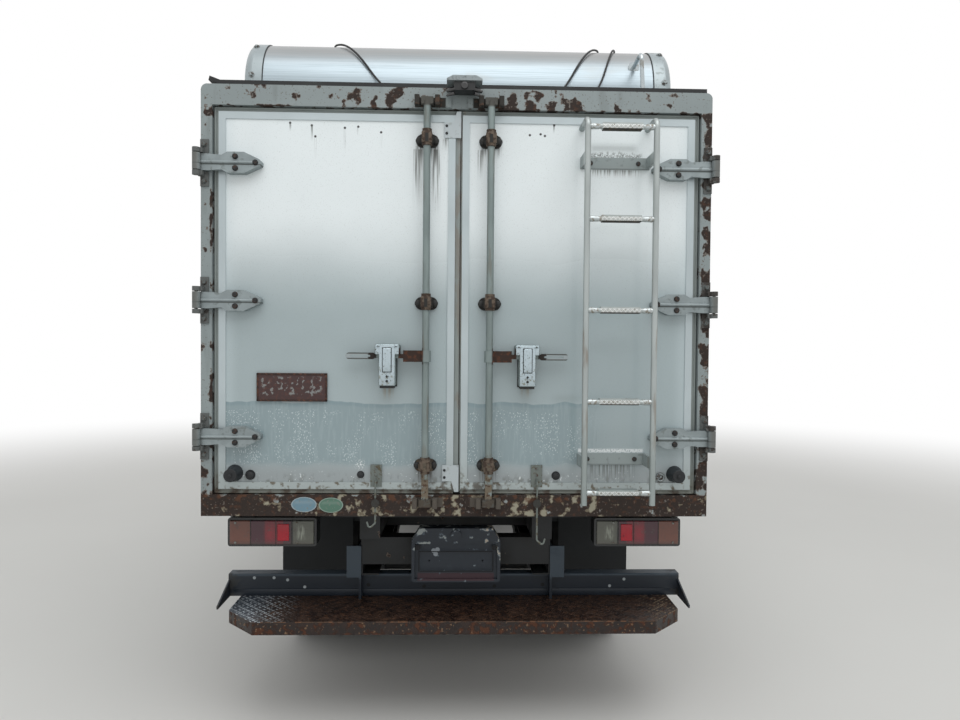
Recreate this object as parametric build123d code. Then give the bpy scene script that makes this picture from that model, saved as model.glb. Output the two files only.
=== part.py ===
from build123d import *
from math import copysign, cos, radians, sin, tan
import os

# A small cab-over refrigerated truck. X is to its right, Y forward, Z up, millimetres.
# The origin is on the ground, under the middle of its length and width.

# Insulated body
BODY_WIDTH = 1880
BODY_LENGTH = 3120
BODY_TOP = 2420
SILL_BOTTOM = 840
WALL_THICKNESS = 75
ROOF_THICKNESS = 75
FLOOR_THICKNESS = 90
CORNER_RAIL = 44
RAIL_PROUD = 6
SUBSILL_HEIGHT = 88
SUBSILL_WIDTH = 80
SUBSILL_GAP = 200
BEARER_PITCH = 430
BEARER_WIDTH = 60
BEARER_PLATE = 6

# Steel rear frame that carries the doors
POST_FACE = 40
HEADER_FACE = 75
SILL_FACE = 78
PORTAL_DEPTH = 110
PORTAL_CORNER = 22

# Rear doors
DOOR_RECESS = 12
DOOR_THICKNESS = 76
DOOR_EDGE_GAP = 20
DOOR_TAPER = 12
MEETING_GAP = 26
MEETING_TAPER = 17
TRIM_WIDTH = 26
TRIM_PROUD = 4
SEAL_CLEARANCE = 5
SEAL_FROM = 20
SEAL_DEPTH = 30
SEAL_OVERLAP = 4
MEETING_SEAL = 15

# Door hinges
HINGE_HEIGHTS = (1135, 1633, 2132)
HINGE_OUT = 6
HINGE_BEHIND = 30
KNUCKLE_RADIUS = 14
KNUCKLE_HEIGHT = 60
PIN_RADIUS = 6
PIN_CLEARANCE = 0.3
STRAP_THICKNESS = 12
STRAP_CLEARANCE = 8
STRAP_LENGTH = 228
STRAP_WIDTH = 60
STRAP_LEAF_WIDTH = 76
STRAP_TIP_WIDTH = 26
STRAP_RIB = 6
LUG_GAP = 3
LUG_HEIGHT = 16
LUG_PLATE = 30
LUG_PLATE_HEIGHT = 52
LUG_PLATE_THICKNESS = 6

# Lock rods, their keepers and guides
ROD_X = 117
ROD_RADIUS = 13
ROD_STANDOFF = 25
FLAT_LENGTH = 92
FLAT_WIDTH = 25
GUIDE_HEIGHTS = (1029, 1630, 2228)
GUIDE_WIDTH = 84
GUIDE_HEIGHT = 48
GUIDE_PLATE = 8
CLAMP_WIDTH = 48
CLAMP_HEIGHT = 30
CAM_WIDTH = 44
CAM_HEIGHT = 26
KEEPER_Z = (893, 2365)
KEEPER_CLEARANCE = 6
KEEPER_POST = 18
KEEPER_EAR = 41
KEEPER_HEIGHT = 34
KEEPER_PLATE = 6
KEEPER_REACH = 42

# Lock cases and handles
HANDLE_HEIGHT = 1435
HANDLE_THICKNESS = 12
HANDLE_WIDTH = 16
HANDLE_REACH = 408
GRIP_LENGTH = 108
GRIP_WIDTH = 24
PADDLE_WIDTH = 42
CASE_X = (212, 300)
CASE_BODY_X = (226, 286)
CASE_Z = (1326, 1440, 1479)
CASE_DEPTH = 60

# Hold-back hooks, rubber buffers and the plates on the left leaf
HOOK_X = 299
HOOK_PLATE_TOP = 1030
HOOK_PLATE_HEIGHT = 82
HOOK_PLATE_WIDTH = 42
HOOK_PLATE_THICKNESS = 5
HOOK_DROPS = {"left": 798, "right": 735}
WIRE_RADIUS = 3.5
BUFFER_RADIUS = 31
BUFFER_GAP = 2
BUFFER_TIP = 20
BUFFER_LENGTH = 58
MEETING_PLATES = ((929, 1029), (2241, 2338))
MEETING_PLATE_X = (-54, 7)
MEETING_PLATE_STEP = 40
MEETING_PLATE_TAB = (27, 16)
MEETING_PLATE_THICKNESS = 3
SIGN_X = (-738, -483)
SIGN_Z = (1265, 1367)
SIGN_DEPTH = 8

# Ladder on the right leaf
LADDER_REACH = 125
LADDER_X = (456, 702)
LADDER_RAIL_RADIUS = 11
LADDER_BOTTOM = 907
LADDER_TOP = 2285
LADDER_BEND = 28
RUNG_HEIGHTS = (951, 1278, 1605, 1930, 2256)
RUNG_RADIUS = 9
TREAD_LENGTH = 142
TREAD_HEIGHT = 13
LADDER_BRACKETS = (1054, 2157)
BRACKET_HEIGHT = 43
BRACKET_PLATE = 6

# Roof unit
UNIT_WIDTH = 1690
UNIT_START = 190
UNIT_CREST = 400
UNIT_LENGTH = 720
UNIT_HEIGHT = 291
UNIT_SLOPE = 9
UNIT_FRONT_ROUND = 45
UNIT_CAP_WIDTH = 73
UNIT_CAP_PROUD = 4
UNIT_CAP_ROUND = 34
FAN_RADIUS = 190
FAN_SPACING = 760
FAN_DEPTH = 60
FAN_MARGIN = 35
FAN_BLADES = 5
UNIT_GRILLE_MARGIN = 40
UNIT_GRILLE_SILL = 28
UNIT_GRILLE_DEPTH = 40
SLAT_PITCH = 62
SLAT_THICKNESS = 6

# Drip lip, camera, grab strut and cables
LIP_HEIGHT = 16
LIP_X = (-914, 920)
LIP_DEPTH = 60
LIP_BENT = 42
LIP_RISE = 14
CAMERA_X = 18
CAMERA_WIDTH = 128
CAMERA_DEPTH = 78
CAMERA_Z = (2390, 2440)
STRUT_X = 702
STRUT_START = 88
STRUT_HEIGHT = 180
STRUT_FALL = 12
STRUT_RADIUS = 8
CABLE_RADIUS = 4
CABLE_STANDOFF = 9
CABLE_START = 92
CABLE_BEND = 14
# where each cable starts, where it meets the unit's back, and where it ends, in x
CABLE_ROUTES = ((-202, -330, -532), (330, 430, 590), (470, 560, 655))

# Rear lamps, plate holder, bumper, step and flaps
LAMP_X = (532, 867)
LAMP_Z = (705, 814)
LAMP_SETBACK = 80
LAMP_DEPTH = 70
LAMP_BEZEL = 9
LAMP_CORNER = 10
HOLDER_WIDTH = 348
HOLDER_Z = (547, 710)
HOLDER_SETBACK = 150
HOLDER_RIM = 12
HOOD_HEIGHT = 51
HOOD_INSET = 32
PLATE_BOLTS = (-105, 105)
PLATE_BOLT_RADIUS = 3.5
BEAM_HALF = 930
BEAM_SETBACK = 290
BEAM_WIDTH = 60
BEAM_Z = (466, 532)
BRACKET_THICKNESS = 10
STEP_HALF = 880
STEP_Y = (15, 300)
STEP_TOP = 440
STEP_LIP = 50
STEP_PLATE = 4
STEP_CHAMFER = 122
FLAP_X = (475, 795)
FLAP_GAP = 124
FLAP_BOTTOM = 200
FLAP_THICKNESS = 6

# Chassis
WHEELBASE = 2475
FRONT_OVERHANG = 1100
FRAME_TOP = 700
FRAME_HEIGHT = 160
FRAME_WIDTH = 768
FRAME_FLANGE = 70
FRAME_PLATE = 6
FRAME_REAR_GAP = 250
CROSS_MEMBERS = (0, 0.15, 0.31, 0.48, 0.94)
CROSS_WIDTH = 70
CROSS_HEIGHT = 110
SPRING_WIDTH = 60
SPRING_LEAF = 10
SPRING_EYE = 20
SPRING_EYE_DROP = 40
# half length, number of leaves, height of the lowest leaf
FRONT_SPRING = (560, 3, 345)
REAR_SPRING = (600, 5, 425)

# Axles and steering
FRONT_TRACK = 1400
REAR_TRACK = 1265
TWIN_SPACING = 215
KINGPIN_INSET = 100
KINGPIN_RADIUS = 14
KINGPIN_EYE = 30
KINGPIN_EYE_HALF = 32
PIN_END_GAP = 5
AXLE_DROP = 60
AXLE_DEPTH = 60
SPINDLE_RADIUS = 28
SPINDLE_REACH = 90
STEERING_ARM = 190
AXLE_TUBE = 60
REAR_SPINDLE = 40
SPINDLE_TIP = 60
DIFF_RADIUS = 150

# Wheels
TYRE_RADIUS = 350
TYRE_WIDTH = 190
RIM_RADIUS = 203
RIM_WIDTH = 156
DISC_FLAT = 110
DISC_BORE = 60
DISC_THICKNESS = 10
HAND_HOLES = 8
HAND_HOLE_RADIUS = 16
HAND_HOLE_CIRCLE = 136
DRUM_RADIUS = 148
FRONT_DRUM = (-33, 25)
REAR_DRUM = (-150, -86)
HUB_RADIUS = 100
HUB_PROUD = 38
REAR_HUB_PROUD = 90

# Engine, driveline, tank, battery and exhaust
ENGINE_WIDTH = 540
ENGINE_Y = (-300, 330)
ENGINE_Z = (450, 940)
GEARBOX_LENGTH = 520
SHAFT_HEIGHT = 470
SHAFT_RADIUS = 35
TANK_Y = (-560, 60)
TANK_WIDTH = 330
TANK_HEIGHT = 300
TANK_CORNER = 45
BATTERY_Y = (-260, 60)
BATTERY_WIDTH = 320
BATTERY_HEIGHT = 230
MUFFLER_Y = (-420, 60)
MUFFLER_Z = 420
MUFFLER_RADIUS = 85
MUFFLER_INSET = 150
PIPE_RADIUS = 22
OUTLET_X = 470

# Cab
CAB_GAP = 70
CAB_LENGTH = 1495
CAB_WIDTH = 1694
CAB_BOTTOM = 620
CAB_BACK_BOTTOM = 790
CAB_TOP = 1985
CAB_WALL = 45
SCREEN_BOTTOM = 1235
ROOF_SPLIT = 1845
# height, front set back, side set in, corner radius, share of the inner skin's drop
CAB_SECTIONS = (
    (CAB_BOTTOM, 0, 0, 150, 0),
    (1190, 6, 0, 150, 0),
    (1225, 11, 2, 150, 0),
    (1858, 242, 64, 150, 0),
    (1940, 292, 92, 150, 0.6),
    (CAB_TOP, 420, 170, 150, 1),
)
PILLAR_SLOPE = 0.37
PILLAR_FOOT = 1260
SCREEN_HALF = (690, 640)
SCREEN_LEAD = 20
SCREEN_DEPTH = 440
SCREEN_CORNER = 70
REAR_WINDOW_HALF = 420
REAR_WINDOW_Z = (1330, 1700)
GLASS_SET_IN = 16
GLASS_THICKNESS = 6
CAB_FLOOR = 830
CAB_FLOOR_THICKNESS = 40
SEAT_PLATFORM = 1010
ARCH_RADIUS = 440
ARCH_FLANGE = 55
LINER = 6
LINER_X = 570
INNER_CLEARANCE = 12
GRILLE_HALF = 520
GRILLE_Z = (705, 835)
GRILLE_SLATS = 3
HEADLAMP_X = (556, 800)
HEADLAMP_Z = (690, 850)

# Cab doors and mirrors
SHUT_LINE = 8
DOOR_FRONT = 195
DOOR_REAR = 280
DOOR_SILL = 70
DOOR_HEADER = 20
DOOR_BELT = 1230
WINDOW_FRAME = 60
DOOR_PIN_OUT = 6.5
DOOR_PIN_RADIUS = 3
DOOR_KNUCKLE_RADIUS = 6
DOOR_HINGES = (800, 1130)
DOOR_KNUCKLE = 50
DOOR_LUG = 12
DOOR_LUG_GAP = 2
DOOR_HINGE_LEAF = (32, 4)
MIRROR_X = 985
MIRROR_SETBACK = 125
MIRROR_Z = (1330, 1640)
MIRROR_WIDTH = 190

# Cab inside
DRIVER_X = 380
DRIVER_SEAT = 480
BENCH_SEAT = 740
BENCH_X = -270
SEAT_DEPTH = 480
CUSHION = 120
BACKREST = 640
BACKREST_LEAN = 120
SEAT_ROUND = 26
DASH_DEPTH = 315
DASH_Z = (1060, 1290)
STEERING_RADIUS = 190
STEERING_LEAN = 32
COLUMN_LENGTH = 320

# Cab tilt
TILT_BACK = 95
TILT_HEIGHT = 650
TILT_PIN = 10
TILT_ARM = 22
TILT_EAR = 12
TILT_SIDE_GAP = 6
TILT_FRAME_GAP = 60
BUMPER_PROUD = 20
BUMPER_CLEARANCE = 8
BUMPER_BOTTOM = 350
BUMPER_DEPTH = 150
BUMPER_WALL = 12
BUMPER_CORNER = 110
INTAKE_HALF = 380
INTAKE_Z = (410, 470)

# Places along the truck, from the ladder at the back to the bumper at the nose
OVERALL_LENGTH = LADDER_REACH + BODY_LENGTH + CAB_GAP + CAB_LENGTH + BUMPER_PROUD
REAR = LADDER_REACH - OVERALL_LENGTH / 2
BODY_FRONT = REAR + BODY_LENGTH
CAB_BACK = BODY_FRONT + CAB_GAP
CAB_FRONT = CAB_BACK + CAB_LENGTH
NOSE = CAB_FRONT + BUMPER_PROUD
FRONT_AXLE = NOSE - FRONT_OVERHANG
REAR_AXLE = FRONT_AXLE - WHEELBASE
FRAME_REAR = REAR + FRAME_REAR_GAP
TILT_Y = CAB_FRONT - TILT_BACK
FRAME_FRONT = TILT_Y - TILT_FRAME_GAP
BEAM_REAR = REAR + BEAM_SETBACK
BEAM_FRONT = BEAM_REAR + BEAM_WIDTH
FRONT_PANEL_REAR = CAB_FRONT - DOOR_FRONT + 30
DASH_REAR = CAB_FRONT - DASH_DEPTH
DOOR_PIN_Y = CAB_FRONT - DOOR_FRONT - SHUT_LINE / 2
DOOR_PIN_X = CAB_WIDTH / 2 + DOOR_PIN_OUT

# Places across and up the truck
FRAME_BOTTOM = FRAME_TOP - FRAME_HEIGHT
FRAME_SIDE = FRAME_WIDTH / 2
FRAME_INNER = FRAME_SIDE - FRAME_FLANGE
SPRING_X = FRAME_SIDE - FRAME_FLANGE / 2
TILT_Z = TILT_HEIGHT
TILT_EAR_X = (FRAME_INNER, FRAME_SIDE - TILT_EAR)
BUMPER_TOP = TILT_Z - (TILT_BACK**2 + (TILT_Z - CAB_BOTTOM) ** 2) ** 0.5 - BUMPER_CLEARANCE
BODY_SIDE = BODY_WIDTH / 2
ROOF_FACE = BODY_TOP - RAIL_PROUD
UNIT_RADIUS = UNIT_CREST - UNIT_START
UNIT_CREST_Y = REAR + UNIT_CREST
UNIT_BEND = ROOF_FACE + UNIT_HEIGHT - UNIT_RADIUS
UNIT_FRONT = REAR + UNIT_START + UNIT_LENGTH
OPENING_SIDE = BODY_SIDE - POST_FACE
OPENING_Z = (SILL_BOTTOM + SILL_FACE, BODY_TOP - HEADER_FACE)
LEAF_SIDE = OPENING_SIDE - DOOR_EDGE_GAP
LEAF_Z = (OPENING_Z[0] + DOOR_EDGE_GAP, OPENING_Z[1] - DOOR_EDGE_GAP)
LEAF_INNER = MEETING_GAP / 2
DOOR_FACE = REAR + DOOR_RECESS
PANEL_FACE = DOOR_FACE + TRIM_PROUD
HINGE_X = BODY_SIDE + HINGE_OUT
HINGE_Y = REAR - HINGE_BEHIND
ROD_Y = REAR - ROD_STANDOFF
BUFFER_X = LEAF_SIDE - TRIM_WIDTH - BUFFER_RADIUS - BUFFER_GAP
BUFFER_Z = LEAF_Z[0] + TRIM_WIDTH + BUFFER_RADIUS + BUFFER_GAP
HANDLE_Y = (ROD_Y - HANDLE_THICKNESS / 2, ROD_Y + HANDLE_THICKNESS / 2)
HANDLE_Z = (HANDLE_HEIGHT - HANDLE_WIDTH / 2, HANDLE_HEIGHT + HANDLE_WIDTH / 2)


def block(x, y, z):
    """A box between the two limits given on each axis."""
    spans = [sorted(pair) for pair in (x, y, z)]
    size = [high - low for low, high in spans]
    middle = [(high + low) / 2 for low, high in spans]
    return Pos(*middle) * Box(*size)


def mirrored(shape):
    """The same shape on the truck's left side."""
    return mirror(shape, about=Plane.YZ)


def pair(shape):
    """The right-hand shape and its left-hand twin."""
    return [shape, mirrored(shape)]


def rod_x(x, y, z, radius):
    """A round bar along X between two values of x."""
    length = abs(x[1] - x[0])
    return Pos(sum(x) / 2, y, z) * Rot(0, 90, 0) * Cylinder(radius, length)


def rod_y(x, y, z, radius):
    """A round bar along Y between two values of y."""
    length = abs(y[1] - y[0])
    return Pos(x, sum(y) / 2, z) * Rot(90, 0, 0) * Cylinder(radius, length)


def rod_z(x, y, z, radius):
    """A round bar along Z between two values of z."""
    length = abs(z[1] - z[0])
    return Pos(x, y, sum(z) / 2) * Cylinder(radius, length)


def side_plate(points, x):
    """A plate with an outline in Y and Z, between two values of x."""
    low, high = sorted(x)
    face = Plane.YZ.offset(low) * make_face(Polyline(*points, close=True))
    return extrude(face, amount=high - low)


def tube(points, radius, bend):
    """A round bar along straight runs joined by bends of one radius."""
    path = FilletPolyline(*points, radius=bend) if len(points) > 2 else Line(*points)
    start = Plane(origin=path @ 0, z_dir=path % 0)
    return sweep(start * Circle(radius), path=path)


def rectangle_ring(x, y, z, width):
    """A rectangular frame seen from behind, its members of one width."""
    inside = block((x[0] + width, x[1] - width), y, (z[0] + width, z[1] - width))
    return block(x, y, z) - inside


# Rear frame and its doors

def rear_portal():
    """The steel rear frame with its hinge lugs and rod keepers welded on."""
    y = (REAR, REAR + PORTAL_DEPTH)
    ring = block((-BODY_SIDE, BODY_SIDE), y, (SILL_BOTTOM, BODY_TOP))
    corners = [e for e in ring.edges().filter_by(Axis.Y) if e.center().Z > BODY_TOP - 1]
    ring = fillet(corners, PORTAL_CORNER)
    ring -= block((-OPENING_SIDE, OPENING_SIDE), y, OPENING_Z)
    for height in HINGE_HEIGHTS:
        for lug in hinge_lugs(height):
            ring += pair(lug)
    for height in KEEPER_Z:
        ring += pair(rod_keeper(height))
    return ring


def leaf_limits(side, depth):
    """The door leaf's limits in x and z at a depth forward of its rear face."""
    share = depth / DOOR_THICKNESS
    x = (side * (LEAF_INNER + MEETING_TAPER * share), side * (LEAF_SIDE - DOOR_TAPER * share))
    z = (LEAF_Z[0] + DOOR_TAPER * share, LEAF_Z[1] - DOOR_TAPER * share)
    return x, z


def leaf_section(side, depth):
    """The leaf's rectangular section at a depth forward of its rear face."""
    x, z = leaf_limits(side, depth)
    plane = Plane(origin=(sum(x) / 2, PANEL_FACE + depth, sum(z) / 2), z_dir=(0, 1, 0), x_dir=(1, 0, 0))
    return plane * Rectangle(abs(x[1] - x[0]), z[1] - z[0])


def door_seal(side):
    """The rubber lip round a leaf, in a groove in its edge. Only the left leaf's spans the middle."""
    y = (PANEL_FACE + SEAL_FROM, PANEL_FACE + SEAL_FROM + SEAL_DEPTH)
    reach = DOOR_EDGE_GAP - SEAL_CLEARANCE
    x, z = leaf_limits(side, 0)
    inner = leaf_limits(side, SEAL_FROM)[0][0] if side > 0 else x[0] + MEETING_SEAL
    outside = block((inner, x[1] + side * reach), y, (z[0] - reach, z[1] + reach))
    x, z = leaf_limits(side, SEAL_FROM + SEAL_DEPTH)
    x = (x[0] + side * SEAL_OVERLAP, x[1] - side * SEAL_OVERLAP)
    return outside - block(x, y, (z[0] + SEAL_OVERLAP, z[1] - SEAL_OVERLAP))


def door_panel(side):
    """The insulated leaf, narrower on its inside, with the groove for its seal."""
    leaf = loft([leaf_section(side, 0), leaf_section(side, DOOR_THICKNESS)], ruled=True)
    return leaf - door_seal(side)


def door_edging(side):
    """The aluminium edging over the leaf's outer rim, and the rubber seal round its edge."""
    x, z = leaf_limits(side, 0)
    trim = rectangle_ring(sorted(x), (DOOR_FACE, PANEL_FACE), z, TRIM_WIDTH)
    return Compound([trim, door_seal(side)])


def hinge_strap(side, height):
    """One leaf-shaped strap with its centre rib, knuckle and pin."""
    tip = HINGE_X - STRAP_LENGTH
    half = STRAP_WIDTH / 2
    leaf = STRAP_LEAF_WIDTH / 2
    near = tip + STRAP_LEAF_WIDTH * 0.8
    far = tip + STRAP_LEAF_WIDTH * 1.6
    upper = [
        (HINGE_X, half),
        (HINGE_X - 40, half),
        (far + 20, half - 4),
        (far, leaf),
        (near, leaf),
        (tip + 7, STRAP_TIP_WIDTH / 2),
        (tip, STRAP_TIP_WIDTH / 4),
    ]
    points = [(x, height + rise) for x, rise in upper] + [(x, height - rise) for x, rise in reversed(upper)]
    face = Plane.XZ * make_face(Polyline(*points, close=True))
    back = REAR - STRAP_CLEARANCE
    strap = Pos(0, back, 0) * extrude(face, amount=STRAP_THICKNESS)
    seat = Pos(0, PANEL_FACE, 0) * extrude(face, amount=PANEL_FACE - back)
    seat &= block((tip, LEAF_SIDE - TRIM_WIDTH), (back, PANEL_FACE), (height - leaf, height + leaf))
    rib = rod_x((tip + 20, HINGE_X - KNUCKLE_RADIUS), back - STRAP_THICKNESS, height, STRAP_RIB)
    ends = (height - KNUCKLE_HEIGHT / 2, height + KNUCKLE_HEIGHT / 2)
    knuckle = rod_z(HINGE_X, HINGE_Y, ends, KNUCKLE_RADIUS)
    reach = LUG_GAP + LUG_HEIGHT
    pin = rod_z(HINGE_X, HINGE_Y, (ends[0] - reach, ends[1] + reach), PIN_RADIUS)
    whole = strap + seat + rib + knuckle + pin
    return whole if side > 0 else mirrored(whole)


def hinge_lugs(height):
    """The two lugs on the right rear post that hold one strap's pin."""
    lugs = []
    for way in (-1, 1):
        near = height + way * (KNUCKLE_HEIGHT / 2 + LUG_GAP)
        far = near + way * LUG_HEIGHT
        plate_y = (REAR - LUG_PLATE_THICKNESS, REAR)
        plate = block((BODY_SIDE - LUG_PLATE, BODY_SIDE), plate_y, (near, near + way * LUG_PLATE_HEIGHT))
        arm = block((BODY_SIDE - LUG_HEIGHT, HINGE_X), (HINGE_Y, REAR), (near, far))
        eye = rod_z(HINGE_X, HINGE_Y, (near, far), KNUCKLE_RADIUS)
        bore = rod_z(HINGE_X, HINGE_Y, (near, far), PIN_RADIUS + PIN_CLEARANCE)
        lugs.append(plate + arm + eye - bore)
    return lugs


def hinge_straps(side):
    return Compound([hinge_strap(side, height) for height in HINGE_HEIGHTS])


def rod_guide(height):
    """An oval plate on the leaf with the clamp that carries the lock rod."""
    oval = Pos(ROD_X, PANEL_FACE, height) * Rot(90, 0, 0) * SlotOverall(GUIDE_WIDTH, GUIDE_HEIGHT)
    z = (height - CLAMP_HEIGHT / 2, height + CLAMP_HEIGHT / 2)
    clamp = block((ROD_X - CLAMP_WIDTH / 2, ROD_X + CLAMP_WIDTH / 2), (ROD_Y, PANEL_FACE - GUIDE_PLATE), z)
    return extrude(oval, amount=GUIDE_PLATE) + clamp + rod_z(ROD_X, ROD_Y, z, ROD_RADIUS + 7)


def lock_rod():
    """The lock rod with its flattened foot and end cams, carried by its guides."""
    foot = KEEPER_Z[0] + FLAT_LENGTH
    whole = rod_z(ROD_X, ROD_Y, (foot, KEEPER_Z[1]), ROD_RADIUS)
    flat_x = (ROD_X - FLAT_WIDTH / 2, ROD_X + FLAT_WIDTH / 2)
    whole += block(flat_x, (ROD_Y - 5, ROD_Y + 5), (KEEPER_Z[0], foot + ROD_RADIUS))
    cam_x = (ROD_X - CAM_WIDTH / 2, ROD_X + CAM_WIDTH / 2)
    cam_y = (ROD_Y - 8, REAR - KEEPER_PLATE - KEEPER_CLEARANCE)
    for height in KEEPER_Z:
        whole += block(cam_x, cam_y, (height - CAM_HEIGHT / 2, height + CAM_HEIGHT / 2))
    for height in GUIDE_HEIGHTS:
        whole += rod_guide(height)
    return whole


def rod_keeper(height):
    """The open-backed keeper on the rear frame that a cam turns into."""
    mouth = CAM_WIDTH / 2 + KEEPER_CLEARANCE
    inner = ROD_X - mouth - KEEPER_POST - KEEPER_EAR
    outer = ROD_X + mouth + KEEPER_POST
    z = (height - KEEPER_HEIGHT / 2, height + KEEPER_HEIGHT / 2)
    plate = block((inner, outer), (REAR - KEEPER_PLATE, REAR), z)
    posts = block((ROD_X - mouth - KEEPER_POST, outer), (REAR - KEEPER_REACH, REAR), z)
    posts -= block((ROD_X - mouth, ROD_X + mouth), (REAR - KEEPER_REACH, REAR - KEEPER_PLATE), z)
    outside = [e for e in posts.edges().filter_by(Axis.Z) if e.center().Y < REAR - KEEPER_REACH + 1]
    return plate + fillet(outside, 5)


def lock_case():
    """The T-shaped bright case on the leaf, with its raised paddle."""
    y = (PANEL_FACE - CASE_DEPTH, PANEL_FACE)
    low, neck, top = CASE_Z
    case = block(CASE_BODY_X, y, (low, top)) + block(CASE_X, y, (neck, top))
    case = fillet(case.edges().filter_by(Axis.Y), 5)
    middle = sum(CASE_BODY_X) / 2
    paddle_x = (middle - PADDLE_WIDTH / 2, middle + PADDLE_WIDTH / 2)
    paddle = block(paddle_x, (y[0] - 5, y[0]), (low + 18, neck - 12))
    return case + chamfer(paddle.faces().sort_by(Axis.Y)[0].edges(), 3)


def lock_handle():
    """The handle bar from the rod through its case out to a slotted grip."""
    bar = block((ROD_X, HANDLE_REACH - GRIP_LENGTH), HANDLE_Y, HANDLE_Z)
    middle = Pos(HANDLE_REACH - GRIP_LENGTH / 2, HANDLE_Y[1], HANDLE_HEIGHT) * Rot(90, 0, 0)
    grip = extrude(middle * SlotOverall(GRIP_LENGTH, GRIP_WIDTH), amount=HANDLE_THICKNESS)
    slot = extrude(middle * SlotOverall(GRIP_LENGTH * 0.66, GRIP_WIDTH * 0.3), amount=HANDLE_THICKNESS)
    paddle_z = (HANDLE_HEIGHT - PADDLE_WIDTH / 2, HANDLE_HEIGHT + PADDLE_WIDTH / 2)
    hub = rod_z(ROD_X, ROD_Y, paddle_z, ROD_RADIUS + 6)
    paddle = block((ROD_X + ROD_RADIUS, CASE_X[0] - ROD_RADIUS), HANDLE_Y, paddle_z)
    return bar + hub + paddle + (grip - slot)


def wire_hook(side):
    """The plate with its ring and its hanging wire hook."""
    half = HOOK_PLATE_WIDTH / 2
    low = HOOK_PLATE_TOP - HOOK_PLATE_HEIGHT
    x = (HOOK_X - half, HOOK_X + half)
    plate = block(x, (DOOR_FACE - HOOK_PLATE_THICKNESS, PANEL_FACE), (low, HOOK_PLATE_TOP))
    plate -= block(x, (DOOR_FACE, PANEL_FACE), (low, LEAF_Z[0] + TRIM_WIDTH))
    drop = HOOK_DROPS["right" if side > 0 else "left"]
    y = REAR - 16
    points = [
        (HOOK_X, DOOR_FACE - 2, low + 30),
        (HOOK_X, y, low + 18),
        (HOOK_X, y, drop + 20),
        (HOOK_X + 22, y - 4, drop),
        (HOOK_X + 30, y - 4, drop + 26),
    ]
    ring = rod_y(HOOK_X, (y - WIRE_RADIUS, y + WIRE_RADIUS), low - 57, 15)
    return plate + tube(points, WIRE_RADIUS, 8) + ring


def buffer():
    """The rubber cone that meets the body side when the door is folded back."""
    place = Pos(BUFFER_X, PANEL_FACE - BUFFER_LENGTH / 2, BUFFER_Z) * Rot(90, 0, 0)
    return place * Cone(BUFFER_RADIUS, BUFFER_TIP, BUFFER_LENGTH)


def sign_plate():
    return block(SIGN_X, (PANEL_FACE - SIGN_DEPTH, PANEL_FACE), SIGN_Z)


def meeting_plates():
    """Two stepped plates on the left leaf whose tapered tabs cover the gap between the leaves."""
    plates = []
    left, right = MEETING_PLATE_X
    foot, tip = MEETING_PLATE_TAB
    for near, far in (MEETING_PLATES[0][::-1], MEETING_PLATES[1]):
        step = far + copysign(MEETING_PLATE_STEP, near - far)
        points = [
            (left, near),
            (left, step),
            (right - foot, step),
            (right - tip, far),
            (right, far),
            (right, near),
        ]
        face = Plane.XZ * make_face(Polyline(*points, close=True))
        plates.append(Pos(0, DOOR_FACE, 0) * extrude(face, amount=MEETING_PLATE_THICKNESS))
    return plates


def ladder():
    """The climbing ladder on the right leaf, held off it by two brackets."""
    y = REAR - LADDER_REACH + LADDER_RAIL_RADIUS
    whole = None
    for x in LADDER_X:
        points = [(x, y, LADDER_BOTTOM), (x, y, LADDER_TOP), (x, PANEL_FACE, LADDER_TOP)]
        rail = tube(points, LADDER_RAIL_RADIUS, LADDER_BEND)
        whole = rail if whole is None else whole + rail
    middle = sum(LADDER_X) / 2
    tread_x = (middle - TREAD_LENGTH / 2, middle + TREAD_LENGTH / 2)
    for height in RUNG_HEIGHTS:
        whole += rod_x(LADDER_X, y, height, RUNG_RADIUS)
        whole += block(tread_x, (y - RUNG_RADIUS, y + 22), (height, height + TREAD_HEIGHT))
    for height in LADDER_BRACKETS:
        z = (height - BRACKET_HEIGHT / 2, height + BRACKET_HEIGHT / 2)
        whole += block((LADDER_X[0] - 5, LADDER_X[1] + 8), (PANEL_FACE - BRACKET_PLATE, PANEL_FACE), z)
        for x in LADDER_X:
            whole += block((x - 4, x + 4), (y, PANEL_FACE), z)
    return whole


# Insulated body

def box_floor():
    y = (REAR + PORTAL_DEPTH, BODY_FRONT - WALL_THICKNESS - RAIL_PROUD)
    side = BODY_SIDE - RAIL_PROUD - WALL_THICKNESS
    return block((-side, side), y, (SILL_BOTTOM, SILL_BOTTOM + FLOOR_THICKNESS))


def box_wall():
    """The right side wall, full length and height under the roof."""
    side = BODY_SIDE - RAIL_PROUD
    y = (REAR + PORTAL_DEPTH, BODY_FRONT - RAIL_PROUD)
    return block((side - WALL_THICKNESS, side), y, (SILL_BOTTOM, BODY_TOP - ROOF_THICKNESS))


def box_front_wall():
    side = BODY_SIDE - RAIL_PROUD - WALL_THICKNESS
    front = BODY_FRONT - RAIL_PROUD
    return block((-side, side), (front - WALL_THICKNESS, front), (SILL_BOTTOM, BODY_TOP - ROOF_THICKNESS))


def box_roof():
    side = BODY_SIDE - RAIL_PROUD
    y = (REAR + PORTAL_DEPTH, BODY_FRONT - RAIL_PROUD)
    return block((-side, side), y, (BODY_TOP - ROOF_THICKNESS, ROOF_FACE))


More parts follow.
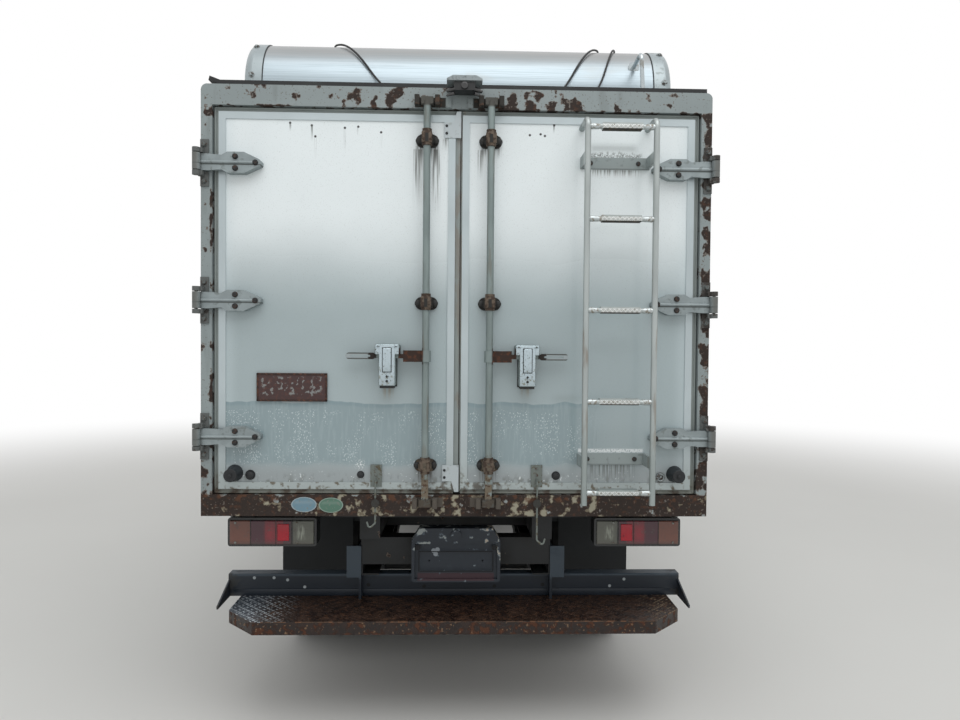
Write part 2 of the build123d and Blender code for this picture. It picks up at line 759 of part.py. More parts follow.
def box_rails():
    """The aluminium mouldings over the body's outer edges."""
    side = BODY_SIDE
    y = (REAR + PORTAL_DEPTH, BODY_FRONT)
    z = (SILL_BOTTOM - RAIL_PROUD, BODY_TOP)
    shell = block((-side, side), y, z)
    front = shell.faces().sort_by(Axis.Y)[-1].edges()
    top = [e for e in shell.edges().filter_by(Axis.Y) if e.center().Z > BODY_TOP - 1]
    rails = fillet([*front, *top], RAIL_PROUD * 0.8)
    inside = side - RAIL_PROUD
    rails -= block((-inside, inside), (y[0], y[1] - RAIL_PROUD), (z[0] + RAIL_PROUD, z[1] - RAIL_PROUD))
    open_x = (CORNER_RAIL - side, side - CORNER_RAIL)
    open_y = (y[0], y[1] - CORNER_RAIL)
    open_z = (z[0] + CORNER_RAIL, z[1] - CORNER_RAIL)
    rails -= block((-side, side), open_y, open_z)
    rails -= block(open_x, y, open_z)
    return rails - block(open_x, open_y, z)


def box_subframe():
    """Two long sills on the frame rails with the cross bearers under the floor."""
    top = FRAME_TOP + SUBSILL_HEIGHT
    y = (REAR + SUBSILL_GAP, BODY_FRONT - CORNER_RAIL - 2)
    sill = block((FRAME_SIDE - SUBSILL_WIDTH, FRAME_SIDE), y, (FRAME_TOP, top))
    whole = sill + mirrored(sill)
    run = y[1] - y[0] - BEARER_WIDTH
    count = max(2, round(run / BEARER_PITCH) + 1)
    side = BODY_SIDE - CORNER_RAIL - 2
    for index in range(count):
        start = y[0] + run * index / (count - 1)
        end = start + BEARER_WIDTH
        bearer = block((-side, side), (start, end), (top, SILL_BOTTOM))
        hollow_z = (top + BEARER_PLATE, SILL_BOTTOM - BEARER_PLATE)
        whole += bearer - block((-side, side), (start + BEARER_PLATE, end), hollow_z)
    return whole


# On the roof

def unit_slope_height(y, grow=0):
    """The height of the unit's sloped top at a place forward of its crest."""
    lean = radians(UNIT_SLOPE)
    return UNIT_BEND + (UNIT_RADIUS + grow) / cos(lean) - (y - UNIT_CREST_Y) * tan(lean)


def unit_outline(grow=0):
    """The refrigeration unit's profile in Y and Z, round at the back and sloped to the front."""
    radius = UNIT_RADIUS + grow
    start = UNIT_CREST_Y - radius
    front = UNIT_FRONT + grow

    def on_arc(angle):
        return UNIT_CREST_Y + radius * cos(radians(angle)), UNIT_BEND + radius * sin(radians(angle))

    leave = 90 - UNIT_SLOPE
    corner = (front, unit_slope_height(front, grow))
    back = ThreePointArc((start, UNIT_BEND), on_arc((180 + leave) / 2), on_arc(leave))
    lines = [
        Line((start, ROOF_FACE), (start, UNIT_BEND)),
        Line(on_arc(leave), corner),
        Line(corner, (front, ROOF_FACE)),
        Line((front, ROOF_FACE), (start, ROOF_FACE)),
    ]
    face = make_face([back, *lines])
    nose = face.vertices().sort_by_distance((*corner, 0))[0]
    return Plane.YZ * fillet(nose, UNIT_FRONT_ROUND + grow)


def unit_body(half, grow=0):
    """The unit's outer form between two mirrored values of x."""
    return Pos(-half, 0, 0) * extrude(unit_outline(grow), amount=2 * half)


def fan_places():
    """The centres of the two fans in the unit's sloped top."""
    y = UNIT_FRONT - FAN_RADIUS - FAN_MARGIN
    tilt = Rot(-UNIT_SLOPE, 0, 0)
    return [Pos(way * FAN_SPACING / 2, y, unit_slope_height(y)) * tilt for way in (-1, 1)]


def grille_recess():
    """The opening in the unit's front face that its slats stand in."""
    half = UNIT_WIDTH / 2 - UNIT_CAP_WIDTH - UNIT_GRILLE_MARGIN
    top = unit_slope_height(UNIT_FRONT) - UNIT_FRONT_ROUND
    return (-half, half), (UNIT_FRONT - UNIT_GRILLE_DEPTH, UNIT_FRONT), (ROOF_FACE + UNIT_GRILLE_SILL, top)


def unit_cowl():
    """The polished cowl between the end caps, open at its fans and front grille."""
    cowl = unit_body(UNIT_WIDTH / 2 - UNIT_CAP_WIDTH)
    for place in fan_places():
        cowl -= place * Cylinder(FAN_RADIUS, 2 * FAN_DEPTH)
    return cowl - block(*grille_recess())


def unit_end_caps():
    """The rounded caps that close the cowl's two ends."""
    side = UNIT_WIDTH / 2
    cap = unit_body(side, UNIT_CAP_PROUD)
    cap &= block((side - UNIT_CAP_WIDTH, side), (REAR, BODY_FRONT), (ROOF_FACE, ROOF_FACE + UNIT_HEIGHT * 2))
    rim = [e for e in cap.faces().sort_by(Axis.X)[-1].edges() if e.center().Z > ROOF_FACE + 1]
    return Compound(pair(fillet(rim, UNIT_CAP_ROUND)))


def unit_fans():
    """Two fans, each a hub with its blades under a guard of rings and bars."""
    fan = Pos(0, 0, -FAN_DEPTH / 2) * Cylinder(FAN_RADIUS * 0.28, FAN_DEPTH)
    for index in range(FAN_BLADES):
        blade = Pos(FAN_RADIUS * 0.55, 0, -FAN_DEPTH / 2) * Rot(24, 0, 0) * Box(FAN_RADIUS * 0.7, 78, 4)
        fan += Rot(0, 0, 360 * index / FAN_BLADES) * blade
    for share in (0.5, 0.75, 1):
        radius = FAN_RADIUS * share
        fan += Pos(0, 0, -2) * (Cylinder(radius, 4) - Cylinder(radius - 5, 4))
    for turn in (0, 90):
        fan += Rot(0, 0, turn) * Pos(0, 0, -2) * Box(2 * FAN_RADIUS - 2, 6, 4)
    return [place * fan for place in fan_places()]


def unit_grille():
    """The upright slats in the unit's front opening, held by a rail at each end."""
    x, y, z = grille_recess()
    back = block(x, (y[0], y[0] + 8), z)
    run = x[1] - x[0] - SLAT_THICKNESS
    count = max(2, round(run / SLAT_PITCH) + 1)
    for index in range(count):
        start = x[0] + run * index / (count - 1)
        back += block((start, start + SLAT_THICKNESS), y, z)
    return back


def roof_lip():
    """The dark drip lip over the rear header, its left end bent up."""
    y = (REAR + 4, REAR + 4 + LIP_DEPTH)
    bar = block((LIP_X[0] + LIP_BENT, LIP_X[1]), y, (BODY_TOP, BODY_TOP + LIP_HEIGHT))
    corner = (LIP_X[0] + LIP_BENT, BODY_TOP)
    points = [
        corner,
        (corner[0], corner[1] + LIP_HEIGHT),
        (LIP_X[0] + 4, corner[1] + LIP_HEIGHT + LIP_RISE),
        (LIP_X[0], corner[1] + LIP_RISE),
    ]
    bent = extrude(Plane.XZ * make_face(Polyline(*points, close=True)), amount=LIP_DEPTH)
    return bar + Pos(0, y[1], 0) * bent


def rear_camera():
    """The camera in its trapezoid hood, on a bracket off the rear header."""
    y = (REAR - CAMERA_DEPTH, REAR - 8)
    half = CAMERA_WIDTH / 2
    points = [
        (CAMERA_X - half, CAMERA_Z[1] - 12),
        (CAMERA_X - half + 22, CAMERA_Z[1]),
        (CAMERA_X + half - 22, CAMERA_Z[1]),
        (CAMERA_X + half, CAMERA_Z[1] - 12),
        (CAMERA_X + half, CAMERA_Z[1] - 18),
        (CAMERA_X - half, CAMERA_Z[1] - 18),
    ]
    hood = Pos(0, y[1], 0) * extrude(Plane.XZ * make_face(Polyline(*points, close=True)), amount=y[1] - y[0])
    body = block((CAMERA_X - 38, CAMERA_X + 38), (y[0] + 8, y[1] - 6), (CAMERA_Z[0], CAMERA_Z[1] - 18))
    eye = rod_y(CAMERA_X, (y[0] + 2, y[0] + 8), CAMERA_Z[0] + 16, 11)
    arm = block((CAMERA_X - 20, CAMERA_X + 20), (y[1], REAR), (CAMERA_Z[1] - 30, CAMERA_Z[1]))
    return hood + body + eye + arm


def unit_back(z):
    """The place along the truck of the unit's round back at a height."""
    rise = max(0, z - UNIT_BEND)
    return UNIT_CREST_Y - (UNIT_RADIUS**2 - rise**2) ** 0.5


def roof_strut():
    """The bright grab strut from the roof edge up to the unit's back."""
    start = REAR + STRUT_START
    top = BODY_TOP + STRUT_HEIGHT
    end = top - STRUT_FALL
    meet = unit_back(end)
    points = [(STRUT_X, start, BODY_TOP + 3), (STRUT_X - 9, start, top), (STRUT_X - 9, meet + 6, end)]
    foot = block((STRUT_X - 24, STRUT_X + 24), (start - 18, start + 18), (BODY_TOP, BODY_TOP + 5))
    pad = rod_y(STRUT_X - 9, (meet - 6, meet + 30), end, 22)
    return tube(points, STRUT_RADIUS, 24) + foot + pad - unit_body(UNIT_WIDTH / 2 - UNIT_CAP_WIDTH)


def roof_cables():
    """The cables clipped up over the unit's round back, from the roof edge to the crest."""
    radius = UNIT_RADIUS + CABLE_STANDOFF + CABLE_RADIUS
    end_y = UNIT_CREST_Y + 80
    cables = []
    for start_x, meet_x, end_x in CABLE_ROUTES:
        points = [
            (start_x, REAR + CABLE_START, BODY_TOP + CABLE_RADIUS),
            (start_x + (meet_x - start_x) * 0.5, REAR + CABLE_START + 40, BODY_TOP + 22),
        ]
        for index, turn in enumerate((6, 26, 46, 66, 86)):
            x = meet_x + (end_x - meet_x) * index / 4
            y = UNIT_CREST_Y - radius * cos(radians(turn))
            points.append((x, y, UNIT_BEND + radius * sin(radians(turn))))
        points.append((end_x, end_y, unit_slope_height(end_y) - CABLE_RADIUS))
        cables.append(tube(points, CABLE_RADIUS, CABLE_BEND) - unit_body(UNIT_WIDTH / 2 - UNIT_CAP_WIDTH))
    return Compound(cables)


# Under the rear

def tail_lamps():
    """The two lamps: housing, bezel, proud lens and the plates that hang them."""
    face = REAR + LAMP_SETBACK
    low, high = LAMP_Z
    box = block(LAMP_X, (face, face + LAMP_DEPTH), (low, high))
    box = fillet(box.edges().filter_by(Axis.Y), LAMP_CORNER)
    inset = (LAMP_X[0] + LAMP_BEZEL, LAMP_X[1] - LAMP_BEZEL)
    lens = block(inset, (face - LAMP_BEZEL, face), (low + LAMP_BEZEL, high - LAMP_BEZEL))
    lamp = box + fillet(lens.faces().sort_by(Axis.Y)[0].edges(), LAMP_BEZEL / 2)
    for x in (LAMP_X[0] + 70, LAMP_X[1] - 70):
        lamp += block((x - 18, x + 18), (face + 20, face + 26), (high, SILL_BOTTOM))
    return Compound(pair(lamp))


def plate_holder():
    """The plate board with its rim and lamp hood, on arms from the rear cross member."""
    y = REAR + HOLDER_SETBACK
    half = HOLDER_WIDTH / 2
    low, high = HOLDER_Z
    board = block((-half, half), (y - HOLDER_RIM, y + HOLDER_RIM / 2), (low, high))
    board = fillet(board.edges().filter_by(Axis.Y), HOLDER_RIM)
    inside = half - HOLDER_RIM
    board -= block((-inside, inside), (y - HOLDER_RIM, y), (low + HOLDER_RIM, high - HOLDER_RIM))
    top = high + HOOD_HEIGHT
    points = [(-half, high), (half, high), (half - HOOD_INSET, top), (HOOD_INSET - half, top)]
    hood = Pos(0, y + 40, 0) * extrude(Plane.XZ * make_face(Polyline(*points, close=True)), amount=62)
    lamp = rod_y(0, (y - 30, y - 22), high + HOOD_HEIGHT / 2, HOOD_HEIGHT * 0.4)
    arm = block((60, 90), (y, FRAME_REAR), (FRAME_TOP - CROSS_HEIGHT, high - 30))
    whole = board + hood + lamp + arm + mirrored(arm)
    for x in PLATE_BOLTS:
        whole -= rod_y(x, (y - HOLDER_RIM, y + HOLDER_RIM / 2), sum(HOLDER_Z) / 2, PLATE_BOLT_RADIUS)
    return whole


def rear_bumper():
    """The square beam across the back on the plates that also carry the step."""
    x = (FRAME_SIDE, FRAME_SIDE + BRACKET_THICKNESS)
    step_front = REAR + STEP_Y[1]
    step_under = STEP_TOP - STEP_PLATE
    points = [
        (FRAME_REAR + 180, FRAME_TOP - 40),
        (FRAME_REAR, FRAME_TOP - 40),
        (FRAME_REAR, STEP_TOP),
        (step_front, STEP_TOP),
        (step_front, step_under),
        (REAR + STEP_Y[0] + 60, step_under),
        (REAR + STEP_Y[0] + 60, step_under - 22),
        (BEAM_FRONT, step_under - 36),
        (BEAM_FRONT + 60, BEAM_Z[1] + 20),
    ]
    flange = block((x[0], x[0] + 58), (FRAME_REAR - 8, FRAME_REAR), (BEAM_Z[1], FRAME_TOP - 40))
    bracket = side_plate(points, x) + flange
    beam = block((-BEAM_HALF, BEAM_HALF), (BEAM_REAR, BEAM_FRONT), BEAM_Z)
    beam = fillet(beam.edges().filter_by(Axis.X), 6)
    return beam + bracket + mirrored(bracket)


def tread_step():
    """The folded tread-plate step, its near corners cut off and its edge turned down."""
    back = REAR + STEP_Y[1]
    near = REAR + STEP_Y[0]
    points = [
        (-STEP_HALF, back),
        (STEP_HALF, back),
        (STEP_HALF, near + STEP_CHAMFER),
        (STEP_HALF - STEP_CHAMFER, near),
        (-STEP_HALF + STEP_CHAMFER, near),
        (-STEP_HALF, near + STEP_CHAMFER),
    ]
    low = STEP_TOP - STEP_LIP
    outline = make_face(Polyline(*points, close=True))
    whole = Pos(0, 0, low) * extrude(outline, amount=STEP_LIP)
    inside = offset(outline, -STEP_PLATE, kind=Kind.INTERSECTION)
    whole -= Pos(0, 0, low) * extrude(inside, amount=STEP_LIP - STEP_PLATE)
    return whole - block((-STEP_HALF, STEP_HALF), (back - STEP_PLATE, back), (low, STEP_TOP - STEP_PLATE))


def mud_flaps():
    """The two hanging rubber flaps behind the twin wheels, with their hanger bars."""
    front = REAR_AXLE - TYRE_RADIUS - FLAP_GAP
    flap = block(FLAP_X, (front - FLAP_THICKNESS, front), (FLAP_BOTTOM, FRAME_TOP + 60))
    bar = block((FRAME_SIDE, FLAP_X[1]), (front, front + 30), (FRAME_TOP - 40, FRAME_TOP - 10))
    return Compound(pair(flap + bar))


# Chassis

def cab_rest():
    """The hoop on the rails that the back of the cab comes down on."""
    y = (CAB_BACK + 5, CAB_BACK + CAB_WALL)
    top = CAB_BACK_BOTTOM - 6
    leg = block((FRAME_INNER, FRAME_SIDE), y, (FRAME_TOP, top))
    return leg + mirrored(leg) + block((-FRAME_SIDE, FRAME_SIDE), y, (top - 40, top))


def tilt_ears():
    """The two ears on the right rail's front end that hold a tilt pin."""
    base_z = (FRAME_BOTTOM + 20, FRAME_TOP - 8)
    points = [
        (FRAME_FRONT, base_z[0]),
        (TILT_Y + 4, TILT_Z - 30),
        (TILT_Y + 24, TILT_Z - 12),
        (TILT_Y + 24, TILT_Z + 12),
        (TILT_Y + 8, TILT_Z + 26),
        (FRAME_FRONT, base_z[1]),
    ]
    ears = block((FRAME_INNER, FRAME_SIDE), (FRAME_FRONT, FRAME_FRONT + 10), base_z)
    for x in TILT_EAR_X:
        ears += side_plate(points, (x, x + TILT_EAR))
    return ears - rod_x((FRAME_INNER, FRAME_SIDE), TILT_Y, TILT_Z, TILT_PIN + PIN_CLEARANCE)


def chassis_frame():
    """Two channel rails with their cross members, the cab's rest and its tilt ears."""
    y = (FRAME_REAR, FRAME_FRONT)
    web = FRAME_SIDE - FRAME_PLATE
    z = (FRAME_BOTTOM + FRAME_PLATE, FRAME_TOP - FRAME_PLATE)
    rail = block((FRAME_INNER, FRAME_SIDE), y, (FRAME_BOTTOM, FRAME_TOP))
    rail -= block((FRAME_INNER, web), y, z)
    rail += tilt_ears()
    whole = rail + mirrored(rail) + cab_rest()
    for place in CROSS_MEMBERS:
        start = y[0] + (y[1] - y[0] - CROSS_WIDTH) * place
        end = start + CROSS_WIDTH
        member = block((-web, web), (start, end), (z[1] - CROSS_HEIGHT, z[1]))
        hollow_z = (z[1] - CROSS_HEIGHT + FRAME_PLATE, z[1] - FRAME_PLATE)
        whole += member - block((-web, web), (start + FRAME_PLATE, end), hollow_z)
    return whole


def leaf_spring(axle, half_length, leaves, seat):
    """One stacked leaf spring over an axle, with its eyes, hangers and clamp."""
    x = (SPRING_X - SPRING_WIDTH / 2, SPRING_X + SPRING_WIDTH / 2)
    top = seat + SPRING_LEAF * leaves
    eye_z = FRAME_BOTTOM - SPRING_EYE_DROP
    whole = block((x[0] - 6, x[1] + 6), (axle - 50, axle + 50), (seat, top + 14))
    for index in range(leaves):
        share = 1 - 0.16 * index
        reach = half_length * share
        low = top - SPRING_LEAF * (index + 1)
        rise = (eye_z - top) * share**2
        ends = ((axle - reach, low + rise), (axle, low), (axle + reach, low + rise))
        under = ThreePointArc(*ends)
        over = ThreePointArc(*[(y, z + SPRING_LEAF) for y, z in ends])
        sides = [Line(under @ 0, over @ 0), Line(under @ 1, over @ 1)]
        whole += Pos(x[0], 0, 0) * extrude(Plane.YZ * make_face([under, over, *sides]), amount=SPRING_WIDTH)
    for end in (axle - half_length, axle + half_length):
        whole += rod_x(x, end, eye_z, SPRING_EYE)
        whole += block((x[0] + 6, x[1] - 6), (end - 32, end + 32), (eye_z, FRAME_BOTTOM))
    return whole


def front_axle():
    """The dropped beam between the kingpins, carried by its two leaf springs."""
    y = (FRONT_AXLE - AXLE_DEPTH / 2, FRONT_AXLE + AXLE_DEPTH / 2)
    eye = FRONT_TRACK / 2 - KINGPIN_INSET
    low = TYRE_RADIUS - AXLE_DROP
    half = KINGPIN_EYE_HALF
    right = [
        (eye, TYRE_RADIUS - half),
        (eye, TYRE_RADIUS + half),
        (eye - 95, TYRE_RADIUS + half),
        (eye - 175, low + half),
    ]
    under = [(eye - 175, low - half), (eye - 95, TYRE_RADIUS - half)]
    over_left = [(-x, z) for x, z in reversed(right)]
    under_left = [(-x, z) for x, z in reversed(under)]
    points = [*right, *over_left, *under_left, *under]
    beam = Pos(0, y[1], 0) * extrude(Plane.XZ * make_face(Polyline(*points, close=True)), amount=AXLE_DEPTH)
    z = (TYRE_RADIUS - half, TYRE_RADIUS + half)
    beam += pair(rod_z(eye, FRONT_AXLE, z, KINGPIN_EYE))
    beam -= Compound(pair(rod_z(eye, FRONT_AXLE, z, KINGPIN_RADIUS + PIN_CLEARANCE)))
    pad_z = (low + half - 4, FRONT_SPRING[2])
    pad = block((SPRING_X - 36, SPRING_X + 36), (FRONT_AXLE - 50, FRONT_AXLE + 50), pad_z)
    side = pad + leaf_spring(FRONT_AXLE, *FRONT_SPRING)
    return beam + side + mirrored(side)


def knuckle():
    """The right steering knuckle: kingpin, fork, wheel spindle and steering arm."""
    x = FRONT_TRACK / 2 - KINGPIN_INSET
    y = FRONT_AXLE
    reach = KINGPIN_EYE_HALF + PIN_END_GAP
    fork = 24
    ends = (TYRE_RADIUS - reach - fork, TYRE_RADIUS + reach + fork)
    web = (x + KINGPIN_EYE + 8, x + KINGPIN_EYE + 30)
    whole = rod_z(x, y, ends, KINGPIN_RADIUS) + block(web, (y - 34, y + 34), ends)
    for near, far in ((ends[0], ends[0] + fork), (ends[1] - fork, ends[1])):
        whole += rod_z(x, y, (near, far), KINGPIN_EYE - 4)
        whole += block((x, web[1]), (y - 26, y + 26), (near, far))
    whole += rod_x((web[1], FRONT_TRACK / 2 + SPINDLE_REACH), y, TYRE_RADIUS, SPINDLE_RADIUS)
    arm_z = (ends[0], ends[0] + fork)
    arm = block((x - 46, x - 16), (y - STEERING_ARM, y), arm_z) + block((x - 46, x), (y - 24, y), arm_z)
    return whole + arm


def rear_axle():
    """The rear axle tube with its differential, spindle ends and leaf springs."""
    half = REAR_TRACK / 2
    tube_end = half - TWIN_SPACING / 2 - TYRE_WIDTH / 2 - 20
    whole = rod_x((-tube_end, tube_end), REAR_AXLE, TYRE_RADIUS, AXLE_TUBE)
    whole += rod_x((-half - SPINDLE_TIP, half + SPINDLE_TIP), REAR_AXLE, TYRE_RADIUS, REAR_SPINDLE)
    case = Pos(0, REAR_AXLE, TYRE_RADIUS) * Sphere(DIFF_RADIUS)
    whole += case & block((-110, 110), (REAR_AXLE - 200, REAR_AXLE + 200), (0, TYRE_RADIUS * 2))
    whole += rod_y(0, (REAR_AXLE + 100, REAR_AXLE + DIFF_RADIUS + 60), TYRE_RADIUS, 45)
    pad_z = (TYRE_RADIUS, REAR_SPRING[2])
    pad = block((SPRING_X - 36, SPRING_X + 36), (REAR_AXLE - 50, REAR_AXLE + 50), pad_z)
    side = pad + leaf_spring(REAR_AXLE, *REAR_SPRING)
    return whole + side + mirrored(side)


def powertrain():
    """The engine as a plain block, the tapering gearbox and the shaft to the rear axle."""
    engine_y = (FRONT_AXLE + ENGINE_Y[0], FRONT_AXLE + ENGINE_Y[1])
    engine = block((-ENGINE_WIDTH / 2, ENGINE_WIDTH / 2), engine_y, ENGINE_Z)
    start = engine_y[0]
    end = start - GEARBOX_LENGTH
    wide = Plane(origin=(0, start, SHAFT_HEIGHT + 20), z_dir=(0, 1, 0), x_dir=(1, 0, 0)) * Rectangle(360, 300)
    narrow = Plane(origin=(0, end, SHAFT_HEIGHT), z_dir=(0, 1, 0), x_dir=(1, 0, 0)) * Rectangle(200, 200)
    gearbox = loft([wide, narrow], ruled=True)
    axis = Line((0, end, SHAFT_HEIGHT), (0, REAR_AXLE + DIFF_RADIUS + 90, TYRE_RADIUS))
    shaft = sweep(Plane(origin=axis @ 0, z_dir=axis % 0) * Circle(SHAFT_RADIUS), path=axis)
    joint = Pos(*(axis @ 1)) * Sphere(SHAFT_RADIUS + 12)
    whole = engine + gearbox + shaft + joint
    return whole - rod_y(0, (REAR_AXLE, REAR_AXLE + DIFF_RADIUS + 60), TYRE_RADIUS, 45)


def fuel_tank():
    """The rounded tank on the right rail with its two straps and filler."""
    x = (FRAME_SIDE + 20, FRAME_SIDE + 20 + TANK_WIDTH)
    z = (FRAME_TOP - 30 - TANK_HEIGHT, FRAME_TOP - 30)
    tank = fillet(block(x, TANK_Y, z).edges().filter_by(Axis.Y), TANK_CORNER)
    for share in (0.2, 0.8):
        place = TANK_Y[0] + (TANK_Y[1] - TANK_Y[0]) * share
        y = (place - 20, place + 20)
        strap = block((x[0], x[1] + 3), y, (z[0] - 3, z[1] + 3))
        tank += fillet(strap.edges().filter_by(Axis.Y), TANK_CORNER)
        tank += block((FRAME_SIDE, x[0] + 50), y, (FRAME_BOTTOM, FRAME_TOP - 50))
    return tank + Pos(x[1] - 60, TANK_Y[1] - 90, z[1]) * Cylinder(38, 60)


def battery_box():
    """The battery box on the left rail, under its lid."""
    x = (-FRAME_SIDE - BATTERY_WIDTH, -FRAME_SIDE)
    top = FRAME_TOP - 30
    box = block(x, BATTERY_Y, (top - BATTERY_HEIGHT, top))
    outer = [e for e in box.edges().filter_by(Axis.Z) if e.center().X < -FRAME_SIDE - 1]
    lid = block((x[0] - 6, x[1] - 20), (BATTERY_Y[0] - 6, BATTERY_Y[1] + 6), (top, top + 14))
    return fillet(outer, 14) + lid


def exhaust():
    """The silencer under the left rail with its pipes to the engine and the side."""
    y = MUFFLER_Y
    x = MUFFLER_INSET - FRAME_SIDE
    z = MUFFLER_Z
    silencer = rod_y(x, y, z, MUFFLER_RADIUS)
    silencer = fillet(silencer.edges().filter_by(GeomType.CIRCLE), 18)
    engine = FRONT_AXLE + ENGINE_Y[0]
    inlet = [(x, y[1] - 30, z), (x, engine - 120, z), (x, engine, z + 60)]
    outlet = [(x, y[0] + 30, z), (x, y[0] - 110, z), (x - 130, y[0] - 240, z), (-OUTLET_X, y[0] - 240, z)]
    whole = silencer + tube(inlet, PIPE_RADIUS, 90) + tube(outlet, PIPE_RADIUS, 60)
    whole -= block((x - 60, x + 60), (engine, engine + 60), (z, z + 120))
    hanger_x = (FRAME_INNER * -1 - 10, FRAME_INNER * -1)
    for share in (0.15, 0.85):
        place = y[0] + (y[1] - y[0]) * share
        whole += block(hanger_x, (place - 14, place + 14), (z, FRAME_BOTTOM))
    return whole


def front_bumper():
    """The painted bumper under the cab, round at its ends, on two frame arms."""
    half = CAB_WIDTH / 2
    inner = half - BUMPER_WALL
    front = NOSE - BUMPER_WALL
    back = NOSE - BUMPER_DEPTH
    shell = block((-half, half), (back, NOSE), (BUMPER_BOTTOM, BUMPER_TOP))
    shell = fillet([e for e in shell.edges().filter_by(Axis.Z) if e.center().Y > front], BUMPER_CORNER)
    hollow = block((-inner, inner), (back, front), (BUMPER_BOTTOM, BUMPER_TOP - BUMPER_WALL))
    bends = [e for e in hollow.edges().filter_by(Axis.Z) if e.center().Y > back + 1]
    shell -= fillet(bends, BUMPER_CORNER - BUMPER_WALL)
    shell -= block((-INTAKE_HALF, INTAKE_HALF), (front, NOSE), INTAKE_Z)
    arm_x = (FRAME_SIDE - 60, FRAME_SIDE)
    arm = block(arm_x, (FRAME_FRONT - 120, front), (BUMPER_BOTTOM + 30, BUMPER_TOP - BUMPER_WALL))
    arm += block(arm_x, (FRAME_FRONT - 120, FRAME_FRONT), (BUMPER_TOP - BUMPER_WALL, FRAME_BOTTOM))
    return shell + arm + mirrored(arm)


# Wheels

def revolved(points):
    """A solid of revolution about the local X axis from an outline in x and radius."""
    face = make_face(Polyline(*points, close=True))
    return revolve(face, axis=Axis.X)


def tyre():
    """One tyre about the local X axis, its tread flat and its sidewalls bulged."""
    half = TYRE_WIDTH / 2
    bead = RIM_WIDTH / 2 - 4
    right = [
        (bead, RIM_RADIUS),
        (bead, RIM_RADIUS + 16),
        (half - 6, RIM_RADIUS + 40),
        (half, RIM_RADIUS + 78),
        (half - 8, TYRE_RADIUS - 26),
        (half - 26, TYRE_RADIUS - 4),
        (half - 46, TYRE_RADIUS),
    ]
    left = [(-x, radius) for x, radius in reversed(right)]
    return revolved([*right, *left])


def wheel_disc():
    """One dished steel wheel about the local X axis, its mounting face on +X."""
    half = RIM_WIDTH / 2
    seat = RIM_RADIUS - 4
    face = TWIN_SPACING / 2
    points = [
        (-half - 2, RIM_RADIUS + 14),
        (-half + 4, RIM_RADIUS + 14),
        (-half + 4, RIM_RADIUS),
        (-half + 40, seat - 16),
        (half - 40, seat - 16),
        (half - 4, RIM_RADIUS),
        (half - 4, RIM_RADIUS + 14),
        (half + 2, RIM_RADIUS + 14),
        (half + 2, RIM_RADIUS - 8),
        (half - 34, seat - 24),
        (half - 10, seat - 40),
        (face, DISC_FLAT),
        (face, DISC_BORE),
        (face - DISC_THICKNESS, DISC_BORE),
        (face - DISC_THICKNESS, DISC_FLAT - 4),
        (half - 24, seat - 44),
        (half - 54, seat - 26),
        (-half + 44, seat - 24),
        (-half - 2, RIM_RADIUS - 8),
    ]
    wheel = revolved(points)
    for index in range(HAND_HOLES):
        turn = Rot(360 * (index + 0.5) / HAND_HOLES, 0, 0)
        wheel -= turn * Pos(half, 0, HAND_HOLE_CIRCLE) * Rot(0, 90, 0) * Cylinder(HAND_HOLE_RADIUS, 120)
    return wheel


def front_wheel_pieces():
    """The right front tyre, and its wheel with hub and brake drum."""
    place = Pos(FRONT_TRACK / 2, FRONT_AXLE, TYRE_RADIUS)
    face = TWIN_SPACING / 2
    back = face - DISC_THICKNESS
    bore = SPINDLE_RADIUS + PIN_CLEARANCE
    drum = revolved(
        [
            (FRONT_DRUM[0], bore),
            (FRONT_DRUM[0], DRUM_RADIUS),
            (FRONT_DRUM[1], DRUM_RADIUS),
            (FRONT_DRUM[1] + 10, HUB_RADIUS),
            (back, HUB_RADIUS),
            (back, DISC_BORE - 4),
            (face + HUB_PROUD - 8, DISC_BORE - 8),
            (face + HUB_PROUD, DISC_BORE - 18),
            (face + HUB_PROUD, 0),
            (SPINDLE_REACH + 6, 0),
            (SPINDLE_REACH + 6, bore),
        ]
    )
    return place * tyre(), place * (wheel_disc() + drum)


def rear_wheel_pieces():
    """The right rear twin tyres, and their two wheels back to back on one hub."""
    place = Pos(REAR_TRACK / 2, REAR_AXLE, TYRE_RADIUS)
    inner = Pos(-TWIN_SPACING / 2, 0, 0)
    outer = Pos(TWIN_SPACING / 2, 0, 0) * Rot(0, 0, 180)
    bore = REAR_SPINDLE + PIN_CLEARANCE
    hub = revolved(
        [
            (REAR_DRUM[0], bore),
            (REAR_DRUM[0], DRUM_RADIUS),
            (REAR_DRUM[1], DRUM_RADIUS),
            (REAR_DRUM[1] + 10, HUB_RADIUS),
            (-DISC_THICKNESS, HUB_RADIUS),
            (-DISC_THICKNESS, DISC_BORE - 4),
            (REAR_HUB_PROUD - 8, DISC_BORE - 10),
            (REAR_HUB_PROUD, DISC_BORE - 20),
            (REAR_HUB_PROUD, 0),
            (SPINDLE_TIP + 6, 0),
            (SPINDLE_TIP + 6, bore),
        ]
    )
    tyres = Compound([place * inner * tyre(), place * outer * tyre()])
    return tyres, place * (inner * wheel_disc() + outer * wheel_disc() + hub)


# Cab

